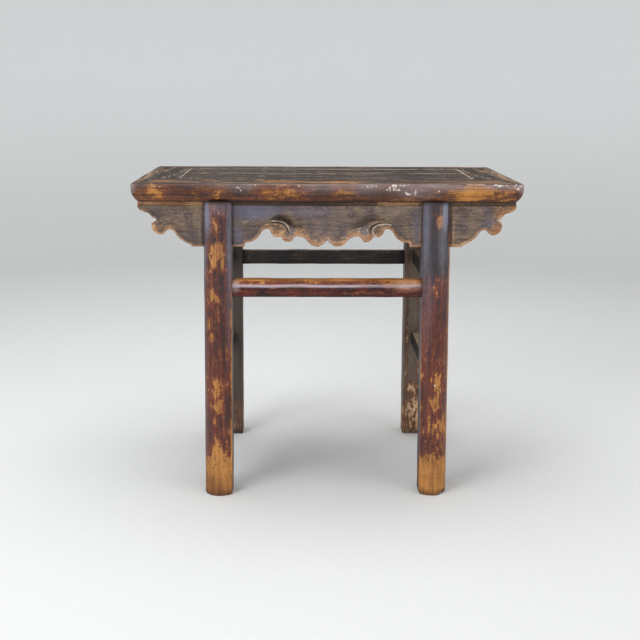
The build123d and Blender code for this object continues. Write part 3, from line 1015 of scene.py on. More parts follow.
# ---------------------------------------------------------------- legs
@dataclass
class Leg:
    """One splayed leg: flat on its two inner sides, rounded outside, slotted at the head."""

    node: str
    rubs: Rubs
    flank_rubs: Rubs
    seed: int
    finish: WornLacquer = LEG_LACQUER
    inner_rubs: Rubs = Rubs()
    sheen: Rubs = Rubs()
    flecked: Rubs = Rubs()
    foot_wear: float = 112.0
    foot_arch: float = 40.0
    head_red: float = 0.3
    shank_red: float = 0.7
    head_wear: float = 0.2
    shank_wear: float = 0.2
    arris_wear: float = 0.42
    # Painted shade on the inner faces.
    inner_shade: float = 0.45
    inner_dust: float = 0.0
    # Pale film towards the head on the outer faces: clouding and painted sheen.
    head_bloom_and_sheen: float = 0.16
    outer_line: float = 0.0
    foot_chip: float = 0.0
    chip_bearing: float = -2.5
    chip_spread: float = 0.42
    chip_height: float = 18.0
    foot_fade: float = 70.0
    dressing: float = 0.35
    side: float = 76.0
    arris_setback: float = 14.0
    crown: float = 2.0
    arris_round: float = 2.2
    foot_round: float = 3.0
    station_step: float = 3.0
    slot_clearance: float = 0.15
    dark_head: Pair = (480.0, 690.0)

    def __post_init__(self) -> None:
        """Work out the leg's axis at the foot and at the head from the CAD node."""
        low, high = node_box(self.node)
        self.signs = np.where(low[:2] > 0, 1.0, -1.0)
        self.foot = np.maximum(np.abs(low), np.abs(high))[:2] - self.side / 2.0
        self.head = np.minimum(np.abs(low), np.abs(high))[:2] + self.side / 2.0
        self.height = node_box(RailKind.FRONT.value)[0][2]

    def axis_at(self, level: Array) -> Array:
        """Distance of the axis from the table's middle, across and in depth, at a level."""
        share = (self.height - np.asarray(level)[..., None]) / self.height
        return self.head + (self.foot - self.head) * share

    def _section(self, arris: Array) -> tuple[Array, Array, Array]:
        """Section of the front left leg about its axis.

        Three arcs make the outer sides and two straights the inner ones. Each of the three
        corners between them is eased by a parabola whose ends lie one rounding back.

        Args:
            arris: Rounding of the corners at each station.

        Returns:
            x, y and the distance to the nearest corner, stations by points.
        """
        half = self.side / 2.0
        reach = half - self.crown
        radius = (reach**2 + self.arris_setback**2) / (2.0 * self.arris_setback)
        sweep = math.asin(reach / radius)
        bend = np.linspace(0.0, 1.0, 16) * sweep
        front = np.stack([
            self.crown + radius * np.sin(bend), -half + radius * (1.0 - np.cos(bend))
        ], axis=1)
        side = front[::-1, ::-1]
        quarter = np.linspace(0.0, QUARTER, 24)[1:-1, None]
        outer = self.crown - (half + self.crown) * np.hstack([np.cos(quarter), np.sin(quarter)])
        back = -half + self.arris_setback
        corners = np.array([[half, back], [half, half], [back, half]])
        before = np.array([[math.cos(sweep), math.sin(sweep)], [0.0, 1.0], [-1.0, 0.0]])
        after = np.array([[0.0, 1.0], [-1.0, 0.0], [-math.sin(sweep), -math.cos(sweep)]])
        flat = np.linspace(0.08, 0.92, 12)[:, None]
        t = np.linspace(0.0, 1.0, 7)[:, None]
        r = arris[:, None, None]
        eased = [
            (1 - t) ** 2 * (corner - b * r) + 2 * t * (1 - t) * corner + t**2 * (corner + a * r)
            for corner, b, a in zip(corners, before, after)
        ]
        stretches = (
            front[:-3], eased[0], corners[0] + flat * (corners[1] - corners[0]), eased[1],
            corners[1] + flat * (corners[2] - corners[1]), eased[2], side[3:], outer,
        )
        loop = np.concatenate([
            np.broadcast_to(part, (len(arris), part.shape[-2], 2)) for part in stretches
        ], axis=1)
        away = np.min([np.hypot(*np.moveaxis(loop - corner, -1, 0)) for corner in corners], axis=0)
        return loop[..., 0], loop[..., 1], away

    def skin(self) -> Skin:
        """The leg's surface: its section carried down the splayed axis.

        Returns:
            The skin.
        """
        count = int(self.height / self.station_step)
        z = np.concatenate([[0.0, 0.4, 1.0, 1.8, 3.0], np.linspace(4.5, self.height, count)])
        arris = self.arris_round * (1.0 + 0.55 * ripple(z, z * 0, self.seed, 90.0))
        x, y, away = self._section(np.clip(arris, 0.8, 5.0))
        level = np.broadcast_to(z[:, None], x.shape)
        angle = np.arctan2(y, x)
        dressed = self.dressing * (1.0 + ripple(angle * 34.0, level * 0.25, self.seed + 1, 34.0))
        low = np.clip(self.foot_round - level, 0.0, self.foot_round)
        tucked = self.foot_round - np.sqrt(self.foot_round**2 - low**2)
        chipped = self.foot_chip * bump(angle, self.chip_bearing, self.chip_spread)
        chipped = chipped * np.clip(1.0 - level / self.chip_height, 0.0, 1.0)
        shrink = 1.0 - (dressed + tucked + chipped) / (self.side / 2.0)
        flat = -self.signs * (np.stack([x, y], axis=-1) * shrink[..., None] - self.axis_at(level))
        marks = self._marks(x, y, level, away, angle)
        return carried(np.concatenate([flat, level[..., None]], axis=-1), level, marks)

    def _marks(self, x: Array, y: Array, level: Array, away: Array, angle: Array) -> Array:
        """Bare arrises and foot, placed rubs, dark head, red shank, dust on the inner faces,
        painted sheen towards the head, and painted shade on the inner faces and under the frame.

        Args:
            x: Across from the axis, on the front left leg.
            y: Inwards from the axis.
            level: Height over the floor.
            away: Distance to the nearest corner.
            angle: Direction from the axis.

        Returns:
            The point marks.
        """
        across = -self.signs[0] * x
        facing = smooth(-y, 2.0, 20.0)
        flank = smooth(-x, 2.0, 20.0) * (1.0 - facing)
        outside = np.maximum(facing, flank)
        inner_rubs = smooth(y, 20.0, 30.0) * self.inner_rubs.at(level, across)
        below_head = fall(level, *self.dark_head)
        worn = self.head_wear + (self.shank_wear - self.head_wear) * fall(level, 500.0, 640.0)
        worn = worn + 0.10 * ripple(angle * 40.0, level, self.seed + 2, 110.0)
        worn = worn + facing * self.rubs.at(level, across) + flank * self.flank_rubs.at(level, y)
        arris = self.arris_wear * bump(away, 0.0, 3.6) * below_head
        line = self.outer_line * smooth(-x, 31.0, 35.5) * bump(y, -12.0, 9.0)
        line = line * fall(level, 730.0, 760.0)
        foot_top = self.foot_wear + self.foot_arch * bump(across, -3.0, 15.0)
        foot = np.clip(0.5 + (foot_top - level) / self.foot_fade, 0.0, 0.95)
        # Painted sheen: placed pale bluish bands on the front face, and a pale film on the outer faces
        # that grows towards the head, clouding and painted sheen.
        bloom = facing * self.sheen.at(level, across)
        bloom = bloom + self.head_bloom_and_sheen * smooth(level, 400.0, 760.0) * outside
        dusty = (1.0 - outside) * (1.0 - np.clip(1.6 * inner_rubs, 0, 1)) * (1.0 - 0.6 * foot)
        # Darker at the floor, and on the inner faces as painted shade.
        grime = 0.6 * fall(level, 0.0, 26.0) + self.inner_shade * (1.0 - outside)
        red = self.head_red + (self.shank_red - self.head_red) * below_head
        return marks_of(
            level.shape,
            wear=np.maximum(worn + inner_rubs + arris + line, foot) * (0.55 + 0.45 * outside),
            red=red * (0.4 + 0.6 * outside),
            bloom=bloom + self.inner_dust * dusty,
            # Painted shade on the top of the leg, just under the frame.
            grime=grime + 0.7 * smooth(level, 795.0, 806.0),
            fleck=facing * self.flecked.at(level, across),
        )

    def build(self) -> None:
        """Make the leg and cut its slot round the apron board."""
        made = piece(self.node, "worn", self.skin(), self.finish.material())
        low, high = node_box("front_apron" if self.signs[1] < 0 else "rear_apron")
        middle = self.signs[0] * self.head[0]
        clear, reach = self.slot_clearance, self.side
        corners = np.array([
            [x, y, z] for x in (middle - reach, middle + reach)
            for y in (low[1] - clear, high[1] + clear) for z in (low[2] - clear, self.height + reach)
        ])
        faces = [(0, 1, 3, 2), (4, 6, 7, 5), (0, 4, 5, 1), (2, 3, 7, 6), (0, 2, 6, 4), (1, 5, 7, 3)]
        block = bpy.data.meshes.new(f"{self.node}_slot")
        block.from_pydata((corners * MM).tolist(), [], faces)
        cutter = linked(block.name, block)
        cut = made.modifiers.new("slot", "BOOLEAN")
        cut.operation = "DIFFERENCE"
        cut.solver = "EXACT"
        cut.object = cutter
        graph = bpy.context.evaluated_depsgraph_get()
        slotted = bpy.data.meshes.new_from_object(made.evaluated_get(graph))
        made.modifiers.clear()
        made.data = slotted
        bpy.data.objects.remove(cutter)


# ---------------------------------------------------------------- aprons
@dataclass
class EdgePath:
    """An outline built stretch by stretch, each arc starting in the direction asked."""

    points: list[Array]
    heading: Pair = (1.0, 0.0)

    def line(self, *ends: Pair) -> None:
        """Straight stretches from point to point."""
        self.points.append(np.array(ends))

    def arc(self, end: Pair, heading: Pair | None = None, steps: int = 14) -> None:
        """An arc to a point that leaves the last one along a heading.

        The arc's centre lies on the normal to the heading, as far from the start as the
        squared chord over twice the chord's share along that normal.

        Args:
            end: Where it ends.
            heading: Its first direction, or None to go on as the last arc ended.
            steps: Points along it.
        """
        start = self.points[-1][-1]
        aim = np.array(heading or self.heading)
        aim = aim / np.hypot(*aim)
        normal = np.array([-aim[1], aim[0]])
        chord = np.array(end) - start
        centre = start + normal * (float(chord @ chord) / (2.0 * float(chord @ normal)))
        first = start - centre
        turn = 2.0 * math.atan2(float(chord @ normal), float(chord @ aim))
        angles = np.linspace(0.0, turn, steps + 1)[1:, None]
        side = np.array([-first[1], first[0]])
        self.points.append(centre + first * np.cos(angles) + side * np.sin(angles))
        self.heading = tuple(aim * math.cos(turn) + normal * math.sin(turn))

    def swing(self, end: Pair) -> None:
        """Two equal tangent arcs to a point where the edge runs level again."""
        self.arc(tuple((self.points[-1][-1] + end) / 2.0), (1.0, 0.0), 10)
        self.arc(end, None, 10)


@dataclass(frozen=True)
class Stroke:
    """One raised line of the carving, drawn in the right half.

    A negative lift is a cut that holds dirt. Shine is the strength of the highlight painted on
    the crest. Side is 0 for a line in both halves, or the sign of the half that has it.
    """

    knots: list[Pair]
    half_width: float
    lift: float
    shine: float
    side: int = 0

    def at(self, x: Array, rise: Array) -> Array:
        """A bell about the line, 1 on it and 0 in the half that lacks it."""
        body = bump(near_line(np.abs(x), rise, curve_through(self.knots)), 0.0, self.half_width)
        return body * (np.sign(x) == self.side) if self.side else body


STROKES = (
    Stroke([(146, 36), (141, 29), (132, 26.5), (123, 29), (116, 36), (113.5, 45), (117, 53),
            (125, 58.5), (136, 60.5), (148, 60.5), (161, 57.5)], 2.7, 3.8, 0.3, -1),
    Stroke([(153, 36), (150, 29), (143, 26), (131, 26.5), (124, 32), (120.6, 41), (122.5, 47.5),
            (128, 54.5), (138.5, 59), (152, 60.5), (168, 58)], 2.3, 4.4, 0.7, 1),
    Stroke([(97, 38), (101, 47), (106, 56), (113, 63), (124, 67.5), (138, 68.5), (151, 67)],
           2.4, 3.8, 0.5, -1),
    Stroke([(105, 40), (107, 49), (112, 56), (119, 61), (128, 63)], 2.0, 3.2, 0.45, 1),
    Stroke([(107, 22), (109, 32), (107.5, 42), (109, 50), (114, 57.5)], 1.9, 2.0, 0.25),
    Stroke([(86, 21), (82, 30), (81, 40), (84, 50)], 2.0, 1.6, 0.2),
    Stroke([(60, 42), (72, 47), (84, 49), (94, 46)], 2.2, 1.5, 0.2, -1),
    Stroke([(62, 42), (74, 46), (88, 50)], 2.2, 1.8, 0.5, 1),
    Stroke([(0, 23), (5, 18), (11, 10), (20, 5)], 1.9, 1.4, 0.3),
    Stroke([(0, 18.5), (4, 14.5), (9, 8), (15, 4)], 1.3, -1.6, 0.0),
    Stroke([(64, 50), (56, 43), (44, 37), (28, 31)], 2.6, 0.8, 0.22, -1),
    Stroke([(103, 40), (106, 49), (113, 57.5), (124, 63), (138, 64.5), (148, 64)],
           1.4, -1.6, 0.0, -1),
    Stroke([(114, 38), (115, 49), (121, 57), (131, 62), (142, 63.5)], 1.4, -1.6, 0.0, 1),
    Stroke([(78, 70), (88, 79), (99, 84.5), (110, 87.5)], 1.8, 0.7, 0.05, -1),
    Stroke([(400, 79), (414, 75), (430, 70), (442, 66), (450, 60), (453, 52), (450, 44)],
           2.2, 2.8, 0.35),
    Stroke([(451, 70), (457, 69), (461, 64)], 2.2, 2.6, 0.8),
    Stroke([(398, 36), (404, 46), (414, 54), (426, 57)], 2.0, 1.2, 0.1),
)
CRESCENT_TOP = [(60, 48), (70, 60), (83, 74), (98, 83.5), (114, 87.5), (130, 86), (145, 79), (160, 68.5)]
CRESCENT_FOOT = [(60, 48), (78, 50.5), (94, 52), (103, 58), (112, 64.5), (124, 68.5), (142, 69.5),
                 (160, 68.5)]
MASSES = (
    (97, 34, 13, 22, 0.95), (68, 38, 24, 12, 0.5), (131, 44, 22, 20, 0.75),
    (444, 50, 18, 19, 0.9), (130, 62, 30, 8, 0.7),
)


@dataclass
class Carving:
    """How each point of the carved face is shaped, every part from 0 to about 1.

    High is full thickness, beside is the beads next to the legs, middle is nearness to the
    table's middle, crest and shine are the raised lines and the strength of the highlight painted
    on them, and cut is the lines cut in. Sunk is the crescent hollow, deeper its lower side and
    bowl the curl's middle; sunk also sets the painted shade in the hollow.
    """

    middle: Array
    beside: Array
    high: Array
    crest: Array
    shine: Array
    cut: Array
    sunk: Array
    deeper: Array
    bowl: Array


@dataclass
class Apron:
    """A carved apron board: cloud-scroll edge, raised bead, sunk field and curls."""

    node: str
    bead: float = 7.0
    field_depth: float = 2.4
    tongue_rise: float = 11.5
    tongue_thick: float = 14.0
    tongue_back: float = 4.0
    proud: float = 2.0
    leg_gap: Pair = (251.0, 328.0)
    block_end: float = 358.0
    block_drop: float = 5.0
    edge_round: float = 2.6
    carved_to: float = 107.4
    leg_beads: Pair = (245.5, 333.0)
    crescent_depth: Pair = (1.2, 2.6)
    right_hollow: float = 0.55
    bowl_at: Pair = (131.0, 44.5)
    bowl_depth: float = 2.6
    boss_at: Pair = (135.0, 47.0)
    fine: float = 1.1
    coarse: float = 4.0
    edge_clear: float = 0.7
    bead_reach: float = 8.0
    carved_boxes: tuple[tuple[float, ...], ...] = ((50, 172, 8, 94), (392, 466, 28, 84))
    bare_spots: Rubs = Rubs(
        (46, 444, 14, 12, 0.8), (42, -452, 12, 6, 0.5), (22, 96, 8, 9, 0.45),
        (20, -96, 8, 10, 0.45), (34, 70, 9, 16, 0.3), (40, -64, 10, 14, 0.3),
        (28, -128, 8, 12, 0.5), (29, 138, 5, 10, 0.4), (18, 50, 10, 20, 0.2),
        (40, -131, 11, 11, 0.42), (39, -76, 8, 10, 0.48), (28, -60, 7, 12, 0.38),
        (14, -42, 6, 14, 0.34), (19, -95, 6, 7, 0.3),
    )
    haze_and_sheen_rubs: Rubs = Rubs(
        (94, -200, 18, 70, 0.85), (64, 425, 12, 14, 0.4), (94, -60, 12, 60, 0.4),
        (60, 236, 40, 8, 0.35), (30, -236, 30, 10, 0.5),
    )
    # Pale bits, among them painted highlights on the two spandrel volutes and along the bead's edge at
    # the middle.
    paled_and_highlights: Rubs = Rubs(
        (50, 240, 40, 3, 0.3), (70, -215, 8, 20, 0.35), (40, 95, 14, 8, 0.3),
        (72, -456, 5, 5, 1.0), (74, 470, 4, 6, 0.9), (96, 380, 12, 40, 0.22),
        (60, 365, 14, 20, 0.3), (22, -60, 8, 30, 0.3), (22, 50, 10, 30, 0.3),
        (10, 0, 8, 16, 0.3),
    )
    soiled: Rubs = Rubs(
        (92, -455, 11, 22, 0.9), (76, 410, 12, 22, 0.5), (30, -350, 16, 26, 0.6),
        (80, -228, 40, 22, 0.8), (98, -180, 14, 70, 0.4),
    )

    def outline(self) -> Array:
        """The carved edge from the middle out to the right end, as x and rise.

        The stretches are those of the solid: a lobe, a hollow, the small lobe and the curl,
        the sweep to the block beside the leg, and the spandrel with its hook and cloud.

        Returns:
            The edge's points.
        """
        path = EdgePath([np.array([[0.0, 18.0]])])
        path.arc((24.0, 0.0), (18.0, -24.0))
        path.swing((79.0, 27.5))
        path.swing((103.0, 12.5))
        path.arc((121.5, 28.0), (1.0, 0.0))
        path.arc((149.5, 40.0), (0.985, -0.55), 18)
        path.arc((158.0, 47.5), (0.12, 0.99), 8)
        path.arc((173.0, 39.0), (1.0, 0.0), 8)
        path.line((179.0, 29.5))
        path.arc((212.0, 11.5), (6.0, -9.5), 12)
        path.arc((218.5, 5.0), (1.0, 0.0), 6)
        path.line(*((x, 0.0) for x in np.linspace(218.5, self.block_end, 34)))
        path.line((self.block_end + 0.8, self.block_drop))
        path.arc((396.0, 28.5), (0.96, 0.28), 20)
        path.line((403.7, 39.7))
        path.arc((415.0, 45.5), (0.56, 0.82), 8)
        path.swing((438.0, 31.5))
        path.arc((461.0, 62.0), (1.0, 0.0), 16)
        path.arc((452.0, 72.0), None, 8)
        path.arc((463.3, 81.5), (10.0, 4.0), 8)
        for end in ((475.0, 90.0), (490.0, 95.5), (497.0, 104.0)):
            path.arc(end, None, 8)
        return np.concatenate(path.points)

    def relief(self, x: Array, rise: Array, edge: Array) -> tuple[Array, Array]:
        """Depth of the carved face below the board's face, and its marks.

        The bead follows the edge: full height for its width, then a cubic fall to the field.
        Rounded masses stand under the curl, the second lobe and the leaf. Strokes are bells
        about their lines. The crescent over the curl is a hollow between two curves, deepest
        along the lower one, and the curl's own middle is a shallow bowl.

        Args:
            x: Distance from the middle of the table, mm.
            rise: Height above the board's lowest edge, mm.
            edge: Distance to the carved edge, mm.

        Returns:
            The depth and the marks.
        """
        side = np.abs(x)
        middle = fall(side, 60.0, 215.0)
        width = self.bead * (0.8 + 0.25 * middle) + 0.8 * ripple(x, rise, 30, 34.0)
        high = smooth(-edge, -width - 5.0 * (0.5 + middle), -width + 1.5)
        beside = 0.35 * bump(side, self.leg_beads[0], 3.0) + bump(side, self.leg_beads[1], 3.4)
        beside = beside * fall(rise, 62.0, 96.0)
        high = np.maximum(high, beside)
        for mass_x, mass_rise, wide, tall, top in MASSES:
            away = ((side - mass_x) / wide) ** 2 + ((rise - mass_rise) / tall) ** 2
            high = np.maximum(high, top * fall(away, 0.2, 1.5))
        lift, crest, shine, cut = np.zeros((4, len(x)))
        for stroke in STROKES:
            body = stroke.at(x, rise)
            lift = np.maximum(lift, stroke.lift * body)
            crest = np.maximum(crest, min(1.0, stroke.lift / 3.0) * body)
            shine = np.maximum(shine, stroke.shine * body)
            cut = np.maximum(cut, -stroke.lift * body)
        top, foot = curve_through(CRESCENT_TOP), curve_through(CRESCENT_FOOT)
        within = inside_loop(side, rise, np.concatenate([top, foot[::-1]]))
        from_top, from_foot = near_line(side, rise, top), near_line(side, rise, foot)
        sunk = within * smooth(from_top, 0.0, 2.8) * smooth(from_foot, 0.0, 1.6)
        # The right crescent is made shallower than the left, which also gives it less painted shade.
        carving = Carving(
            middle, beside, high, crest, shine, cut,
            sunk=sunk * np.where(x > 0.0, self.right_hollow, 1.0),
            deeper=within * smooth(from_top, 2.0, 18.0),
            bowl=fall(np.hypot(side - self.bowl_at[0], (rise - self.bowl_at[1]) * 1.05), 8.0, 13.5),
        )
        boss = bump(np.hypot(side - self.boss_at[0], rise - self.boss_at[1]), 0.0, 3.2)
        ground = 0.22 * ripple(x, rise * 1.5, 31, 22.0) + 0.3 * ripple(x * 0.4, rise, 32, 60.0)
        scars = 0.25 * ripple(x * 0.9 + rise * 2.0, rise * 0.3, 36, 16.0)
        depth = (self.field_depth + ground + scars) * (1.0 - high)
        shallow, added = self.crescent_depth
        depth = depth + (shallow + added * carving.deeper) * carving.sunk
        depth = depth + self.bowl_depth * carving.bowl * (1.0 - boss) - lift * 0.62 + cut
        depth = depth + 0.30 * np.clip(self.edge_round - edge, 0.0, self.edge_round) ** 2
        depth = np.where(rise > self.carved_to, depth * 0.3, depth)
        return np.clip(depth, -self.proud, None), self._marks(x, rise, edge, carving)

    def _marks(self, x: Array, rise: Array, edge: Array, c: Carving) -> Array:
        """Bare beads, crests and lower spandrels; painted shade in the hollows, beside the legs and
        inside the bead; painted highlights on the crests; tinted and hazed field.

        Args:
            x: Distance from the middle of the table, mm.
            rise: Height above the board's lowest edge, mm.
            edge: Distance to the carved edge, mm.
            c: The carving at each point.

        Returns:
            The point marks.
        """
        side = np.abs(x)
        reach = 8.5 + 10.5 * c.middle + 3.0 * ripple(x, rise, 37, 40.0)
        rim = 0.42 * smooth(-edge, -reach * 1.5, 0.0) + 0.34 * fall(edge, 2.4, 8.0)
        rim = rim * (1.0 - 0.85 * smooth(-x, 436.0, 450.0) * smooth(rise, 58.0, 70.0))
        wear = (
            0.14 + 0.10 * ripple(x, rise, 33, 90.0) + rim + 0.36 * c.crest + 0.10 * c.high
            + (0.1 + 0.35 * smooth(x, 0.0, 10.0)) * c.beside + self.bare_spots.at(rise, x)
            - 0.5 * c.sunk - 0.1 * c.bowl - 0.4 * c.cut
            + 0.42 * smooth(x, 430.0, 444.0) * smooth(rise, 74.0, 84.0)
            + 0.30 * smooth(-x, 462.0, 474.0) * smooth(rise, 88.0, 94.0)
            - 0.18 * smooth(-x, 330.0, 360.0) * fall(rise, 20.0, 60.0)
            - 0.16 * smooth(-x, 20.0, 120.0) * fall(-x, 240.0, 250.0) * smooth(rise, 58.0, 84.0)
            - 0.14 * smooth(-x, 170.0, 205.0) * fall(-x, 250.0, 256.0)
        )
        at_legs = bump(side, self.leg_gap[0] + 1.5, 3.5) + bump(side, self.leg_gap[1] - 1.5, 3.5)
        # Painted shade in the crescent hollows, darkest by their lower side, in strips beside the legs
        # and in a line just inside the bead; lighter at x = -84, where light falls into the left
        # crescent; darker in the cuts and the curl's bowl; dirt in the placed patches.
        grime = (
            0.95 * c.sunk * (0.6 + 0.4 * c.deeper) + 0.12 * c.bowl + 0.5 * c.cut
            - 0.4 * c.sunk * bump(x, -84.0, 14.0) + 0.5 * at_legs
            + 0.30 * bump(edge, reach * 1.3, 2.4) * (1.0 - c.crest)
            + 0.35 * self.soiled.at(rise, x)
        )
        bloom = 0.10 + 0.12 * ripple(x * 0.5, rise, 34, 70.0) + self.haze_and_sheen_rubs.at(rise, x)
        bloom = bloom - 0.3 * c.sunk + 0.5 * bump(side, 97.0, 10.0) * bump(rise, 38.0, 16.0)
        red = 0.42 + 0.35 * ripple(x, rise * 0.6, 35, 60.0)
        return marks_of(
            x.shape, wear=wear, grime=grime, fleck=c.shine + self.paled_and_highlights.at(rise, x),
            bloom=bloom * (1.0 - smooth(x, 428.0, 446.0) * smooth(rise, 70.0, 82.0)),
            # Warmer where light falls into the left crescent, painted light; warmer too in the curl's
            # bowl.
            red=red + 0.5 * c.sunk * bump(x, -84.0, 16.0) + 0.4 * c.bowl,
        )

    def skin(self) -> Skin:
        """The board: a carved face on a fine triangulation, its sides, and a plain back.

        Returns:
            The skin.
        """
        low, high = node_box(self.node)
        face_y, back_y = (low[1], high[1]) if low[1] < 0 else (high[1], low[1])
        inward = np.sign(-face_y)
        shoulder = node_box(RailKind.FRONT.value)[0][2] - low[2] - self.tongue_rise
        half = self.outline()
        carved = np.concatenate([half[:0:-1] * [-1.0, 1.0], half])
        end = carved[-1, 0]
        crest = np.stack([np.linspace(end, -end, 200), np.full(200, shoulder)], axis=1)
        loop = np.concatenate([carved, crest])
        count = len(loop)
        here = np.arange(count)
        following = (here + 1) % count
        ring = list(zip(here.tolist(), following.tolist()))
        cloud = np.concatenate([loop, self._inner_points(loop, carved, shoulder)])
        fine, rough = (
            delaunay_2d_cdt([Vector(p) for p in points], ring, [list(range(count))], 1, 1e-5)
            for points in (cloud, loop)
        )
        x, rise = np.array([tuple(point) for point in fine[0]]).T
        triangles, back_triangles = (np.array(faces[2]) for faces in (fine, rough))
        depth, marks = self.relief(x, rise, near_line(x, rise, carved))
        points = np.concatenate([
            grid_of(x, face_y + inward * depth, low[2] + rise),
            grid_of(loop[:, 0], back_y, low[2] + loop[:, 1]),
        ])
        base = len(x)
        walls = np.stack([base + here, base + following, following, here], axis=1)
        corners = np.concatenate([
            triangles.ravel(), (base + back_triangles[:, ::-1]).ravel(), walls.ravel()
        ])
        flats = len(back_triangles) + len(walls)
        board = Skin(
            points, corners,
            np.repeat([3, 4], [len(triangles) + len(back_triangles), len(walls)]),
            points[corners][:, [0, 2]] + points[corners][:, [1, 1]] * [0.0, 1.0],
            np.concatenate([marks, marks_of(
                (count,), wear=0.1, bloom=0.1, red=0.1, grime=0.6, deck=0.1, fleck=0.1
            )]),
            np.repeat([False, True], [len(triangles), flats]),
        )
        near = face_y + inward * self.tongue_back
        return board.outward().joined(self._tongue(near, inward, end, low[2] + shoulder))

    def _inner_points(self, loop: Array, carved: Array, shoulder: float) -> Array:
        """Grid points inside the outline: fine near the edge and the carving, else coarse.

        Args:
            loop: The board's whole outline.
            carved: Its carved stretch.
            shoulder: Rise of its top edge.

        Returns:
            The points, as x and rise.
        """
        end = np.abs(loop[:, 0]).max()
        kept = []
        for step, near in ((self.fine, True), (self.coarse, False)):
            grid = np.meshgrid(
                np.arange(-end + step / 2, end, step), np.arange(step / 2, shoulder - 0.4, step)
            )
            points = np.stack([part.ravel() for part in grid], axis=1)
            points = points[inside_loop(*points.T, loop)]
            edge = near_line(*points.T, carved)
            side, rise = np.abs(points[:, 0]), points[:, 1]
            dense = edge < self.bead + 2.5
            for left, right, low, high in self.carved_boxes:
                dense |= (side > left) & (side < right) & (rise > low) & (rise < high)
            for middle in (self.leg_gap[0] - 4.0, self.leg_gap[1] + 4.0):
                dense |= (np.abs(side - middle) < self.bead_reach) & (rise < 106.0)
            kept.append(points[(dense == near) & (edge > self.edge_clear)])
        return np.concatenate(kept)

    def _tongue(self, near: float, inward: float, end: float, shoulder: float) -> Skin:
        """The bare tongue along the top of the board, up to the frame.

        Args:
            near: Its outer face in Y.
            inward: Sign of Y towards the table's middle.
            end: Half its length.
            shoulder: Level of the board's top edge.

        Returns:
            Its skin.
        """
        far = near + inward * self.tongue_thick
        top = shoulder + self.tongue_rise
        y = np.array([near, near, near, near, far, far])
        z = np.array([shoulder - 1.0, shoulder + 3, top - 4, top, top, shoulder - 1.0])
        points = grid_of(np.linspace(-end, end, 120)[:, None], y, z)
        x = points[..., 0]
        bare = smooth(np.abs(x), 322.0, 330.0) * fall(x, -10.0, 0.0)
        bare = bare + 0.5 * smooth(x, 120.0, 150.0) * fall(x, 244.0, 250.0)
        bare = bare + 0.25 * smooth(x, 20.0, 60.0)
        # Where the tongue is not bare it is darkened as painted shade under the frame.
        return carried(points, x, marks_of(x.shape, wear=bare, grime=0.5 - 0.6 * bare, red=0.4))

    def build(self) -> None:
        """Make the board."""
        piece(self.node, "carved", self.skin(), APRON_LACQUER.material())


